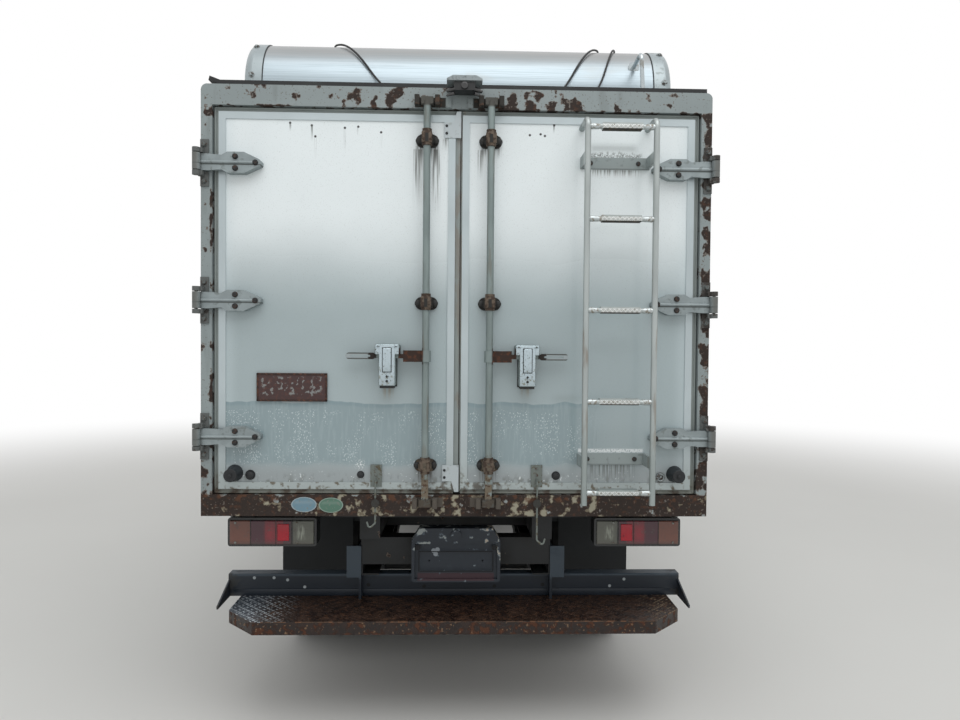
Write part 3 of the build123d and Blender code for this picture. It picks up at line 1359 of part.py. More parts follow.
def cab_section(row, inset):
    """One level section of the cab, its front corners round, set in from the outer skin."""
    height, front_back, side_in, corner, roof_share = row
    side = CAB_WIDTH / 2 - side_in - inset
    front = CAB_FRONT - front_back - inset
    back = CAB_BACK + inset
    bend = corner - inset
    z = height - inset * roof_share
    diagonal = bend * (1 - 0.5**0.5)
    edges = [
        Line((-side, back), (side, back)),
        Line((side, back), (side, front - bend)),
        ThreePointArc((side, front - bend), (side - diagonal, front - diagonal), (side - bend, front)),
        Line((side - bend, front), (-side + bend, front)),
        ThreePointArc((-side + bend, front), (-side + diagonal, front - diagonal), (-side, front - bend)),
        Line((-side, front - bend), (-side, back)),
    ]
    return Pos(0, 0, z) * make_face(edges)


def cab_form(inset=0):
    """The cab's solid form, set in from its outer skin."""
    return loft([cab_section(row, inset) for row in CAB_SECTIONS], ruled=True)


def arch_cylinder(radius, x):
    """A cylinder about the front wheel between two values of x."""
    return rod_x(x, FRONT_AXLE, TYRE_RADIUS, radius)


def cab_shell():
    """The hollow cab, cut at its wheel arches and open below."""
    shell = cab_form() - cab_form(CAB_WALL)
    reach = CAB_WIDTH
    shell -= arch_cylinder(ARCH_RADIUS, (-reach, reach))
    return shell - block((-reach, reach), (CAB_BACK, CAB_BACK + CAB_WALL), (0, CAB_BACK_BOTTOM))


def door_opening(inset):
    """The cab door's outline in Y and Z, set in from the opening."""
    front = CAB_FRONT - DOOR_FRONT
    rear = CAB_BACK + DOOR_REAR + inset
    top = ROOF_SPLIT - DOOR_HEADER - inset
    low = CAB_BOTTOM + DOOR_SILL + inset
    slope = PILLAR_SLOPE
    long_inset = inset * (1 + slope**2) ** 0.5
    knee = PILLAR_FOOT - (long_inset - inset) / slope
    points = [
        (front - inset, low),
        (front - inset, knee),
        (front - (top - PILLAR_FOOT) * slope - long_inset, top),
        (rear, top),
        (rear, low),
    ]
    outline = side_plate(points, (0, CAB_WIDTH))
    return outline - arch_cylinder(ARCH_RADIUS + ARCH_FLANGE + inset, (0, CAB_WIDTH))


def door_window(inset):
    """The door window's outline in Y and Z, set in from its opening."""
    front = CAB_FRONT - DOOR_FRONT - SHUT_LINE
    slope = PILLAR_SLOPE
    low = DOOR_BELT + inset
    top = ROOF_SPLIT - DOOR_HEADER - WINDOW_FRAME - inset
    reach = WINDOW_FRAME + 20 + inset * (1 + slope**2) ** 0.5
    points = [
        (front - (low - PILLAR_FOOT) * slope - reach, low),
        (front - (top - PILLAR_FOOT) * slope - reach, top),
        (CAB_BACK + DOOR_REAR + WINDOW_FRAME + inset, top),
        (CAB_BACK + DOOR_REAR + WINDOW_FRAME + inset, low),
    ]
    plate = side_plate(points, (0, CAB_WIDTH))
    return fillet(plate.edges().filter_by(Axis.X), 40 - inset)


def windscreen_opening():
    """The windscreen's opening, seen from the front, rounded at its corners."""
    points = [
        (-SCREEN_HALF[0], SCREEN_BOTTOM),
        (SCREEN_HALF[0], SCREEN_BOTTOM),
        (SCREEN_HALF[1], ROOF_SPLIT),
        (-SCREEN_HALF[1], ROOF_SPLIT),
    ]
    face = make_face(Polyline(*points, close=True))
    outline = Plane.XZ.offset(-CAB_FRONT - SCREEN_LEAD) * fillet(face.vertices(), SCREEN_CORNER)
    return extrude(outline, amount=SCREEN_DEPTH)


def rear_window_opening():
    x = (-REAR_WINDOW_HALF, REAR_WINDOW_HALF)
    prism = block(x, (CAB_BACK, CAB_BACK + CAB_WALL), REAR_WINDOW_Z)
    return fillet(prism.edges().filter_by(Axis.Y), 50)


def lamp_opening():
    """The right headlamp's opening in the front panel."""
    prism = block(HEADLAMP_X, (FRONT_PANEL_REAR + 10, CAB_FRONT), HEADLAMP_Z)
    return fillet(prism.edges().filter_by(Axis.Y), 26)


def grille_opening():
    prism = block((-GRILLE_HALF, GRILLE_HALF), (CAB_FRONT - 120, CAB_FRONT), GRILLE_Z)
    return fillet(prism.edges().filter_by(Axis.Y), 20)


def front_region():
    return block((-CAB_WIDTH, CAB_WIDTH), (FRONT_PANEL_REAR, CAB_FRONT), (0, SCREEN_BOTTOM))


def cab_front_panel():
    panel = cab_shell() & front_region()
    return panel - lamp_opening() - mirrored(lamp_opening()) - grille_opening()


def door_hinge_leaf(z, forward):
    """A hinge's flat leaf on the cab's side, to the front or the rear of its pin."""
    length, thickness = DOOR_HINGE_LEAF
    y = (DOOR_PIN_Y, DOOR_PIN_Y + forward * length)
    return block((CAB_WIDTH / 2 - 2, CAB_WIDTH / 2 + thickness), y, z)


def door_hinge_lugs(height):
    """The two lugs on the cab that carry one door hinge's pin."""
    lugs = []
    for end in (-1, 1):
        start = height + end * (DOOR_KNUCKLE / 2 + DOOR_LUG_GAP)
        z = sorted((start, start + end * DOOR_LUG))
        lug = rod_z(DOOR_PIN_X, DOOR_PIN_Y, z, DOOR_KNUCKLE_RADIUS) + door_hinge_leaf(z, 1)
        lugs.append(lug - rod_z(DOOR_PIN_X, DOOR_PIN_Y, z, DOOR_PIN_RADIUS + PIN_CLEARANCE))
    return lugs


def cab_side_frame():
    """The right side of the cab round its door: pillars, sill, rear quarter and door hinge lugs."""
    region = block((0, CAB_WIDTH), (CAB_BACK + CAB_WALL, CAB_FRONT), (0, ROOF_SPLIT))
    side = (cab_shell() & region) - front_region()
    side = side - windscreen_opening() - door_opening(0)
    for height in DOOR_HINGES:
        for lug in door_hinge_lugs(height):
            side += lug
    return side


def cab_roof():
    return cab_shell() & block((-CAB_WIDTH, CAB_WIDTH), (CAB_BACK, CAB_FRONT), (ROOF_SPLIT, CAB_TOP))


def cab_back_panel():
    region = block((-CAB_WIDTH, CAB_WIDTH), (CAB_BACK, CAB_BACK + CAB_WALL), (0, ROOF_SPLIT))
    return (cab_shell() & region) - rear_window_opening()


def cab_floor():
    """The footwell, the step up to the seat platform, the wheelhouses and the tilt arms."""
    side = CAB_WIDTH / 2 - CAB_WALL - INNER_CLEARANCE
    low = (CAB_FLOOR - CAB_FLOOR_THICKNESS, CAB_FLOOR)
    high = (SEAT_PLATFORM - CAB_FLOOR_THICKNESS, SEAT_PLATFORM)
    step = (FRONT_AXLE + ARCH_RADIUS, FRONT_AXLE + ARCH_RADIUS + CAB_FLOOR_THICKNESS)
    floor = block((-side, side), (CAB_BACK, step[1]), high)
    floor += block((-side, side), step, (low[0], high[1]))
    floor += block((-side, side), (step[0], CAB_FRONT), low)
    liner = arch_cylinder(ARCH_RADIUS + LINER, (LINER_X, side)) - arch_cylinder(ARCH_RADIUS, (LINER_X, side))
    liner &= block((0, side), (CAB_BACK + CAB_WALL, step[0] + LINER), (CAB_BOTTOM, high[1]))
    post_z = (TYRE_RADIUS + ARCH_RADIUS + LINER - 2, high[0])
    post = block((LINER_X, side), (FRONT_AXLE - 20, FRONT_AXLE + 20), post_z)
    floor += liner + mirrored(liner) + post + mirrored(post)
    floor &= cab_form(CAB_WALL)
    arm_x = (TILT_EAR_X[0] + TILT_EAR + TILT_SIDE_GAP, TILT_EAR_X[1] - TILT_SIDE_GAP)
    arm = block(arm_x, (TILT_Y - TILT_ARM, TILT_Y + TILT_ARM), (TILT_Z, low[0]))
    arm += rod_x(arm_x, TILT_Y, TILT_Z, TILT_ARM)
    arm += rod_x((TILT_EAR_X[0] - 6, TILT_EAR_X[1] + TILT_EAR + 6), TILT_Y, TILT_Z, TILT_PIN)
    return floor + arm + mirrored(arm)


def cab_windows():
    """The windscreen and the rear window."""
    screen = (cab_form(GLASS_SET_IN) - cab_form(GLASS_SET_IN + GLASS_THICKNESS)) & windscreen_opening()
    y = (CAB_BACK + GLASS_SET_IN, CAB_BACK + GLASS_SET_IN + GLASS_THICKNESS)
    rear = rear_window_opening() & block((-CAB_WIDTH, CAB_WIDTH), y, REAR_WINDOW_Z)
    return Compound([*screen.solids(), *rear.solids()])


def cab_grille():
    """The slatted grille between the headlamps, flush with the front panel."""
    low, high = GRILLE_Z
    x = (-GRILLE_HALF, GRILLE_HALF)
    y = (CAB_FRONT - 120, CAB_FRONT)
    frame = grille_opening() - block((x[0] + 16, x[1] - 16), y, (low + 14, high - 14))
    pitch = (high - low - 28) / (GRILLE_SLATS + 1)
    for index in range(GRILLE_SLATS):
        z = low + 14 + pitch * (index + 1)
        frame += block((x[0] + 8, x[1] - 8), y, (z - 5, z + 5))
    return (cab_form() - cab_form(CAB_WALL)) & frame


def headlamps():
    """The two headlamps, wrapped round the cab's corners."""
    return pair((cab_form() - cab_form(CAB_WALL)) & lamp_opening())


def seat(x, width):
    """A seat's cushion and its leaning back, on the platform."""
    z = SEAT_PLATFORM
    y = FRONT_AXLE + ARCH_RADIUS - 20
    half = width / 2
    rear = y - SEAT_DEPTH
    cushion = block((x - half, x + half), (rear, y), (z, z + CUSHION))
    rounded = [*cushion.faces().sort_by(Axis.Z)[-1].edges(), *cushion.edges().filter_by(Axis.Z)]
    cushion = fillet(rounded, SEAT_ROUND)
    points = [
        (rear, z + CUSHION / 2),
        (rear + 80, z + CUSHION + 10),
        (rear + 80 - BACKREST_LEAN, z + BACKREST),
        (rear - BACKREST_LEAN, z + BACKREST - 10),
    ]
    back = side_plate(points, (x - half + 10, x + half - 10))
    return cushion + fillet(back.edges().filter_by(Axis.X), SEAT_ROUND - 2)


def dashboard():
    """The dashboard with its binnacle, steering column and steering wheel."""
    low, high = DASH_Z
    front = CAB_FRONT - CAB_WALL
    side = CAB_WIDTH / 2 - CAB_WALL - INNER_CLEARANCE
    outline = [
        (front, low),
        (DASH_REAR + 60, low),
        (DASH_REAR, high - 60),
        (DASH_REAR + 30, high),
        (front, high),
    ]
    dash = side_plate(outline, (-side, side)) & cab_form(CAB_WALL)
    hood = [(DASH_REAR + 20, high - 20), (DASH_REAR + 40, high + 46), (DASH_REAR + 150, high)]
    dash += side_plate(hood, (DRIVER_X - 170, DRIVER_X + 170))
    place = Pos(DRIVER_X, DASH_REAR - 130, high + 60) * Rot(STEERING_LEAN, 0, 0)
    wheel = Torus(STEERING_RADIUS, 13) + Cylinder(56, 26)
    for turn in (90, 210, 330):
        wheel += Rot(0, 0, turn) * Pos(STEERING_RADIUS / 2, 0, 0) * Box(STEERING_RADIUS, 30, 12)
    return dash + place * (wheel + Pos(0, 0, -5 - COLUMN_LENGTH / 2) * Cylinder(30, COLUMN_LENGTH))


def cab_interior():
    """The driver's seat, the bench beside it and the dashboard."""
    return Compound([seat(DRIVER_X, DRIVER_SEAT), seat(BENCH_X, BENCH_SEAT), dashboard()])


def mirror_on_stay():
    """The right mirror on its two-armed stay off the cab's front corner."""
    y = CAB_FRONT - MIRROR_SETBACK
    low, high = MIRROR_Z
    root = CAB_WIDTH / 2 - 70
    points = [
        (root, y - 20, low - 60),
        (MIRROR_X, y, low - 60),
        (MIRROR_X, y, high + 50),
        (root - 77, y - 130, high + 50),
    ]
    half = MIRROR_WIDTH / 2
    head = block((MIRROR_X - half, MIRROR_X + half), (y - 30, y + 34), (low, high))
    head = fillet([*head.edges().filter_by(Axis.Y), *head.faces().sort_by(Axis.Y)[-1].edges()], 24)
    return (tube(points, 10, 40) + head) - cab_form()


def cab_door():
    """The right cab door, the whole wall thick, with its window cut, its hinges and its handle."""
    door = (cab_form() - cab_form(CAB_WALL)) & door_opening(SHUT_LINE)
    door -= door_window(0)
    for height in DOOR_HINGES:
        z = (height - DOOR_KNUCKLE / 2, height + DOOR_KNUCKLE / 2)
        reach = DOOR_LUG_GAP + DOOR_LUG
        door += door_hinge_leaf(z, -1) + rod_z(DOOR_PIN_X, DOOR_PIN_Y, z, DOOR_KNUCKLE_RADIUS)
        door += rod_z(DOOR_PIN_X, DOOR_PIN_Y, (z[0] - reach, z[1] + reach), DOOR_PIN_RADIUS)
    z = DOOR_BELT - 90
    y = CAB_BACK + DOOR_REAR + 90
    side = CAB_WIDTH / 2
    handle = block((side - 12, side + 14), (y, y + 130), (z - 16, z + 16))
    return door + fillet(handle.faces().sort_by(Axis.X)[-1].edges(), 6)


def cab_door_glass():
    glass = cab_form(GLASS_SET_IN) - cab_form(GLASS_SET_IN + GLASS_THICKNESS)
    return glass & door_window(0)


def door_gear(side):
    """One leaf's lock rod, case and handle as one piece, with its wire hook and buffer."""
    lock = lock_rod() + lock_handle() + lock_case()
    pieces = [*lock.solids(), *wire_hook(side).solids(), buffer()]
    return Compound(pieces if side > 0 else [mirrored(piece) for piece in pieces])


def parts():
    """Each node's name and its shape."""
    front_tyre, front_rim = front_wheel_pieces()
    rear_tyres, rear_rims = rear_wheel_pieces()
    pieces = {
        "rear_portal": rear_portal(),
        "roof_lip": roof_lip(),
        "rear_camera": rear_camera(),
        "box_floor": box_floor(),
        "box_side_walls": Compound(pair(box_wall())),
        "box_front_wall": box_front_wall(),
        "box_roof": box_roof(),
        "box_rails": box_rails(),
        "unit_cowl": unit_cowl(),
        "unit_end_caps": unit_end_caps(),
        "unit_fans_and_grille": Compound([*unit_fans(), unit_grille()]),
        "roof_strut": roof_strut(),
        "roof_cables": roof_cables(),
        "tail_lamps": tail_lamps(),
        "plate_holder": plate_holder(),
        "rear_bumper": rear_bumper(),
        "tread_step": tread_step(),
        "mud_flaps": mud_flaps(),
        "chassis_frame": chassis_frame(),
        "box_subframe": box_subframe(),
        "front_axle": front_axle(),
        "rear_axle": rear_axle(),
        "powertrain": powertrain(),
        "fuel_tank": fuel_tank(),
        "battery_box": battery_box(),
        "exhaust": exhaust(),
        "front_bumper": front_bumper(),
        "left_rear_door_plates": Compound([sign_plate(), *meeting_plates()]),
        "ladder": ladder(),
        "cab_floor": cab_floor(),
        "cab_front_panel": cab_front_panel(),
        "cab_side_frames": Compound(pair(cab_side_frame())),
        "cab_roof": cab_roof(),
        "cab_back_panel": cab_back_panel(),
        "cab_windows": cab_windows(),
        "cab_grille_and_headlamps": Compound([cab_grille(), *headlamps()]),
        "cab_interior": cab_interior(),
        "mirrors": Compound(pair(mirror_on_stay())),
    }
    sided = {
        "cab_door_panel": cab_door(),
        "cab_door_glass": cab_door_glass(),
        "front_knuckle": knuckle(),
        "front_tyre": front_tyre,
        "front_rim": front_rim,
        "rear_tyres": rear_tyres,
        "rear_rims": rear_rims,
    }
    for name, shape in sided.items():
        pieces["right_" + name] = shape
        pieces["left_" + name] = mirrored(shape)
    for name, side in (("right", 1), ("left", -1)):
        pieces[name + "_rear_door_panel"] = door_panel(side)
        pieces[name + "_rear_door_edging"] = door_edging(side)
        pieces[name + "_rear_door_hinges"] = hinge_straps(side)
        pieces[name + "_rear_door_gear"] = door_gear(side)
    return pieces


os.makedirs("parts", exist_ok=True)
for node, shape in parts().items():
    export_step(shape, "parts/" + node + ".step")
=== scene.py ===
import math

import bmesh
import bpy
from mathutils import Matrix, Vector


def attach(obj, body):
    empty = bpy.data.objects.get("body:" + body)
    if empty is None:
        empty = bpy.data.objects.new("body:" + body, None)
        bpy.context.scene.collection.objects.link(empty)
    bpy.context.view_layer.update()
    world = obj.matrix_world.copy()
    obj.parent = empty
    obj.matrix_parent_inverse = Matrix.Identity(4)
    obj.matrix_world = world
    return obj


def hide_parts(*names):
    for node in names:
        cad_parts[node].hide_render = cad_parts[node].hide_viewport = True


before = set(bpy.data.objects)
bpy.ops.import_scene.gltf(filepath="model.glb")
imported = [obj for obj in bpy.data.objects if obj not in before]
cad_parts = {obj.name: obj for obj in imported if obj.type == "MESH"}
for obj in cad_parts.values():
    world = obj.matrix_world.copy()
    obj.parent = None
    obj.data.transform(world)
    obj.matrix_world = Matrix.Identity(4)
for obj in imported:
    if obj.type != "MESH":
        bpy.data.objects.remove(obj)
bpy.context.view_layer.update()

bl_info = {
    "name": "Refrigerated truck",
    "version": (1, 0, 0),
    "blender": (4, 5, 0),
    "location": "View3D > Sidebar > Truck",
    "description": "Gives the refrigerated truck its finishes and its small fittings",
    "category": "Object",
}

# Places in metres, in the truck's frame: X to its right, Y forward, Z up
REAR = -2.290
DOOR_FACE = REAR + 0.012
PANEL_FACE = REAR + 0.016
LEAF_SIDE = 0.880
LEAF_LOW = 0.938
LEAF_HIGH = 2.325
OPENING_SIDE = 0.900
OPENING_LOW = 0.918
OPENING_HIGH = 2.345
ROD_X = 0.117
ROD_Y = REAR - 0.025
HINGE_X = 0.946
HINGE_HEIGHTS = (1.135, 1.633, 2.132)
GUIDE_HEIGHTS = (1.029, 1.630, 2.228)
BRACKET_HEIGHTS = (1.054, 2.157)
RUNG_HEIGHTS = (0.951, 1.278, 1.605, 1.930, 2.256)
LADDER_X = (0.456, 0.702)
LADDER_Y = -2.404
WHEEL_RADIUS = 0.350
RIM_RADIUS = 0.203
FRONT_WHEEL = Vector((0.700, 1.315, WHEEL_RADIUS))
REAR_WHEEL = Vector((0.6325, -1.160, WHEEL_RADIUS))
TWIN_HALF = 0.1075
UNIT_SIDE = 0.845
UNIT_CAP = 0.073
UNIT_CREST_Y = -1.890
UNIT_BEND = 2.495
UNIT_RADIUS = 0.210
UNIT_SLOPE = math.radians(9)
DRIVER_SEAT = (0.380, 0.480, 2)
BENCH_SEAT = (-0.270, 0.740, 3)
SEAT_FRONT = 1.735
SEAT_REAR = 1.255
SEAT_TOP = 1.130
BACK_FOOT = Vector((0, 1.335, 1.140))
BACK_HEAD = Vector((0, 1.215, 1.650))
SCREEN_FOOT = Vector((0, 2.384, 1.225))
SCREEN_HEAD = Vector((0, 2.153, 1.858))
LAMP_BOWL = (0.655, 0.770)
MIRROR = Vector((0.985, 2.240, 1.485))
CABLE_RADIUS = 0.004
CABLE_ROUTES = ((-0.202, -0.330, -0.532), (0.330, 0.430, 0.590), (0.470, 0.560, 0.655))
CAMERA_EYE = Vector((0.018, -2.3655, 2.406))
SIGN_X = (-0.740, -0.481)
SIGN_Z = (1.2635, 1.3685)
STRAP_FACE = REAR - 0.020
CASE_X = 0.256
CASE_FACE = PANEL_FACE - 0.060
BUTTON_HEIGHT = 1.361
HANDLE_HEIGHT = 1.435
HOOK_X = 0.299
LAMP_FACE = REAR + 0.080
STEP_TOP = 0.4375
TYRE_HALF = 0.095
BEAD_HALF = 0.074
TYRE_STEPS = 96
FRONT_HUB = 0.8075
REAR_HUB = 0.6425
NUT_CIRCLE = 0.085
# Pitches in metres of the ladder's ribs, the lenses' flutes, the step's bars and the seats' threads
RIB_PITCH = 0.016
LENS_PITCH = 0.004
FLUTE_PITCH = 0.008
BAR_PITCH = 0.024
THREAD_PITCH = 2 * math.pi / 2100
# The photograph's camera: its place, its yaw, pitch and roll in degrees, its film and lens in millimetres
PHOTO_PLACE = (-0.0008, -4.9575, 1.4812)
PHOTO_ANGLES = (-1.806, -1.264, -0.484)
PHOTO_SENSOR = 36
PHOTO_LENS = 27
SOFTBOX_PLACE = (0.8, -5.0, 7.0)


def linear(code):
    """An sRGB hex colour as linear red, green, blue and alpha."""
    parts = [int(code[at:at + 2], 16) / 255 for at in (1, 3, 5)]
    curve = [part / 12.92 if part <= 0.04045 else ((part + 0.055) / 1.055) ** 2.4 for part in parts]
    return (*curve, 1.0)


def paint_setting(name, description, code):
    """A colour that the user can change in the sidebar."""
    return bpy.props.FloatVectorProperty(
        name=name, description=description, subtype="COLOR", size=4, min=0, max=1, default=linear(code)
    )


def number_setting(name, description, default, **options):
    """A number from 0 up that the user can change in the sidebar."""
    return bpy.props.FloatProperty(name=name, description=description, default=default, min=0, **options)


class TruckPaints(bpy.types.PropertyGroup):
    portal: paint_setting("Portal paint", "Sprayed steel of the rear frame", "#8a9495")
    laminate: paint_setting("Door laminate", "Glossy skin of the doors where rain keeps it clean", "#e6eef0")
    film: paint_setting("Dirt film", "The film that dulls the lower half of the doors", "#a3b1b4")
    body: paint_setting("Body laminate", "Skin of the side walls and the roof", "#d9dfdf")
    navy: paint_setting("Navy paint", "Bumper beam and plate holder", "#17202a")
    cab: paint_setting("Cab enamel", "Stoved paint of the cab", "#dfe2e1")
    rust: paint_setting("Rust", "Dark scale of the rusted steel", "#2c221d")


class TruckWear(bpy.types.PropertyGroup):
    rust: number_setting("Rust", "How far rust has spread on the steel", 1.0, subtype="FACTOR", max=1)
    grime: number_setting("Grime", "How dark the drips and stains are", 1.0, subtype="FACTOR", max=1)


class TruckFittings(bpy.types.PropertyGroup):
    bolt: number_setting("Bolt head", "Width across the flats of the hinge bolts", 0.017, unit="LENGTH")
    nut: number_setting("Wheel nut", "Width across the flats of the wheel nuts", 0.030, unit="LENGTH")
    groove: number_setting("Tread groove", "Depth of the grooves round the tyres", 0.010, unit="LENGTH")


class TruckStudio(bpy.types.PropertyGroup):
    floor: paint_setting("Floor", "Plain pale studio floor", "#d4d4d1")
    sky: number_setting("Sky", "Strength of the even light all round", 0.72)
    lamp: number_setting("Lamp", "Power of the large overhead lamp in watts", 200)


def add_node(tree, kind, inputs=(), **settings):
    """Adds a shader node with its settings, and fills or links its inputs."""
    node = tree.nodes.new("ShaderNode" + kind)
    for setting, value in settings.items():
        setattr(node, setting, value)
    for socket, value in dict(inputs).items():
        if isinstance(value, bpy.types.NodeSocket):
            tree.links.new(value, node.inputs[socket])
        else:
            node.inputs[socket].default_value = value
    return node


class Surface:
    """One real surface: its base and the coats that masks let through. Heights are in millimetres."""

    only = None  # A mask that all further coats stay within

    def __init__(self, name, colour, roughness, metallic=0.0, **sockets):
        self.material = bpy.data.materials.new(name)
        self.material.use_nodes = True
        self.tree = self.material.node_tree
        self.shader = self.tree.nodes["Principled BSDF"]
        self.colour = self.tint(colour)
        self.roughness = roughness
        self.metallic = metallic
        self.height = None
        self.place = self.add("TexCoord").outputs["Object"]
        along = self.add("SeparateXYZ", {0: self.place}).outputs
        self.x, self.y, self.z = along[0], along[1], along[2]
        self.side = self.work("ABSOLUTE", self.x)
        for socket, value in sockets.items():
            self.shader.inputs[socket.replace("_", " ")].default_value = value

    def tint(self, colour):
        """A hex code as linear colour; anything else as it is."""
        return linear(colour) if isinstance(colour, str) else colour

    def add(self, kind, inputs=(), **settings):
        """Adds a node to this surface."""
        return add_node(self.tree, kind, inputs, **settings)

    def work(self, operation, first, *others):
        """The first value worked on by each of the others in turn."""
        result = first if others else self.add("Math", {0: first}, operation=operation).outputs[0]
        for other in others:
            result = self.add("Math", {0: result, 1: other}, operation=operation).outputs[0]
        return result

    def both(self, *masks):
        """Where all the masks are 1."""
        return self.work("MULTIPLY", *masks)

    def most(self, *masks):
        """Where any of the masks is 1."""
        return self.work("MAXIMUM", *masks)

    def rise(self, value, low, high, top=1.0):
        """0 below low, smoothly up to top above high. With low above high it falls instead."""
        inputs = {"Value": value, "From Min": low, "From Max": high, "To Min": 0.0, "To Max": top}
        return self.add("MapRange", inputs, interpolation_type="SMOOTHSTEP").outputs[0]

    def zone(self, soft=0.003, **limits):
        """1 inside the given limits on x, y, z or side, fading over the soft distance."""
        steps = []
        for axis, (low, high) in limits.items():
            value = getattr(self, axis)
            steps += [self.rise(value, low - soft, low + soft), self.rise(value, high + soft, high - soft)]
        return self.both(*steps)

    def away(self, value, x, z, wide=1.0, high=1.0):
        """The squared distance of the value and Z from x and z, in shares of wide and high."""
        across = self.work("DIVIDE", self.work("SUBTRACT", value, x), wide)
        up = self.work("DIVIDE", self.work("SUBTRACT", self.z, z), high)
        return self.work("ADD", self.both(across, across), self.both(up, up))

    def wave(self, value, pitch):
        """A sine along the value with this pitch in metres."""
        return self.work("SINE", self.both(value, 2 * math.pi / pitch))

    def grain(self, size, stretch=(1, 1, 1), detail=3.0, shift=0.0):
        """Cloudy variation with lumps of about this size in metres, drawn out along each axis by stretch."""
        scale = [1 / (size * part) for part in stretch]
        inputs = {0: self.place, 1: scale, 2: (shift, shift * 1.7, shift * 2.3)}
        spot = self.add("VectorMath", inputs, operation="MULTIPLY_ADD").outputs[0]
        return self.add("TexNoise", {"Vector": spot, "Scale": 1.0, "Detail": detail}).outputs[0]

    def spots(self, size, low, high, top=1.0, **options):
        """Patches of about this size that cover less as low and high rise."""
        return self.rise(self.grain(size, **options), low, high, top)

    def cells(self, size, stretch=(1, 1, 1), feature="F1"):
        """Cell pattern, such as flakes or drops, whose cells are about this size in metres."""
        scale = [1 / (size * part) for part in stretch]
        spot = self.add("VectorMath", {0: self.place, 1: scale}, operation="MULTIPLY").outputs[0]
        return self.add("TexVoronoi", {"Vector": spot, "Scale": 1.0}, feature=feature).outputs["Distance"]

    def coat(self, mask, colour=None, roughness=None, metallic=None, raised=None):
        """Lays a coat where the mask is 1."""
        if self.only is not None:
            mask = self.both(mask, self.only)
        if colour is not None:
            inputs = {0: mask, 6: self.colour, 7: self.tint(colour)}
            self.colour = self.add("Mix", inputs, data_type="RGBA").outputs[2]
        if roughness is not None:
            self.roughness = self.add("Mix", {0: mask, 2: self.roughness, 3: roughness}).outputs[0]
        if metallic is not None:
            self.metallic = self.add("Mix", {0: mask, 2: self.metallic, 3: metallic}).outputs[0]
        if raised is not None:
            self.relief(mask, raised)

    def relief(self, pattern, depth):
        """Raises the surface by the pattern times this many millimetres."""
        step = self.both(pattern, depth)
        self.height = step if self.height is None else self.work("ADD", self.height, step)

    def mottle(self, size, share, **options):
        """Lets the colour drift lighter and darker by this share in clouds of this size."""
        drift = self.rise(self.grain(size, **options), 0.3, 0.7)
        value = self.work("ADD", self.both(drift, 2 * share), 1 - share)
        self.colour = self.add("HueSaturation", {"Value": value, "Color": self.colour}).outputs[0]

    def rust(self, push, level=0.62, size=0.045, shift=0.0):
        """Rust that spreads from where push is high: brown scale, orange bloom and pale flaked edges."""
        spread = bpy.context.scene.truck_wear.rust
        value = self.work("ADD", self.grain(size, detail=9.0, shift=shift), self.both(push, spread))
        mask = self.rise(value, level, level + 0.02)
        edge = self.both(self.rise(value, level - 0.025, level), self.rise(value, level + 0.02, level))
        bloom = self.spots(0.018, 0.52, 0.70, 0.85, detail=8.0, shift=shift + 3)
        flake = self.spots(0.010, 0.60, 0.68, 0.8, detail=7.0, shift=shift + 7)
        self.coat(mask, bpy.context.scene.truck_paints.rust, 0.88, 0.0, raised=0.4)
        self.coat(self.both(mask, bloom), "#493226", 0.95)
        self.coat(self.both(mask, flake), "#6c635b", 0.8, raised=0.25)
        self.coat(edge, "#685c53", 0.85)
        self.relief(self.both(mask, self.grain(0.004, detail=2.0)), 0.5)

    def drips(self, runs, colour="#3c3f3d", strength=0.8, fine=0.006):
        """Dirty water runs. Each run has its middle x, its top, its half width and its length."""
        grime = bpy.context.scene.truck_wear.grime
        total = None
        for x, top, half, length in runs:
            across = self.work("ABSOLUTE", self.work("SUBTRACT", self.x, x))
            run = self.both(
                self.rise(across, half, half * 0.5),
                self.rise(self.z, top + 0.004, top - 0.004),
                self.rise(self.z, top - length, top - length * 0.1),
            )
            total = run if total is None else self.most(total, run)
        streak = self.spots(fine, 0.40, 0.60, stretch=(1, 1, 40), detail=2.0)
        self.coat(self.both(total, streak, strength * grime), colour, 0.7)

    def spatter(self, points, radius, colour):
        """Round marks, such as nail heads or chips, at these x, z places in metres."""
        total = None
        for x, z in points:
            mark = self.rise(self.away(self.x, x, z, radius, radius), 1.4, 0.6)
            total = mark if total is None else self.most(total, mark)
        self.coat(total, colour, 0.7)

    def done(self):
        """Links the coats to the shader and returns the material."""
        for socket, value in (
            ("Base Color", self.colour), ("Roughness", self.roughness), ("Metallic", self.metallic)
        ):
            if isinstance(value, bpy.types.NodeSocket):
                self.tree.links.new(value, self.shader.inputs[socket])
            else:
                self.shader.inputs[socket].default_value = value
        if self.height is not None:
            bump = self.add("Bump", {"Height": self.height, "Distance": 0.001, "Strength": 1.0})
            self.tree.links.new(bump.outputs[0], self.shader.inputs["Normal"])
        return self.material


def wear(material, *nodes):
    """Gives CAD nodes their finish."""
    for name in nodes:
        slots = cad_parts[name].data.materials
        slots.clear()
        slots.append(material)


def along(start, end):
    """The matrix that stands a shape made about Z on the middle of the line from start to end."""
    start, end = Vector(start), Vector(end)
    turn = (end - start).to_track_quat("Z", "Y").to_matrix().to_4x4()
    return Matrix.Translation((start + end) / 2) @ turn


def add_rod(bm, start, end, radius, far_radius=None, segments=20):
    """A round rod or cone between two points."""
    far_radius = radius if far_radius is None else far_radius
    bmesh.ops.create_cone(
        bm, cap_ends=True, cap_tris=False, segments=segments, radius1=radius, radius2=far_radius,
        depth=(Vector(end) - Vector(start)).length, matrix=along(start, end),
    )


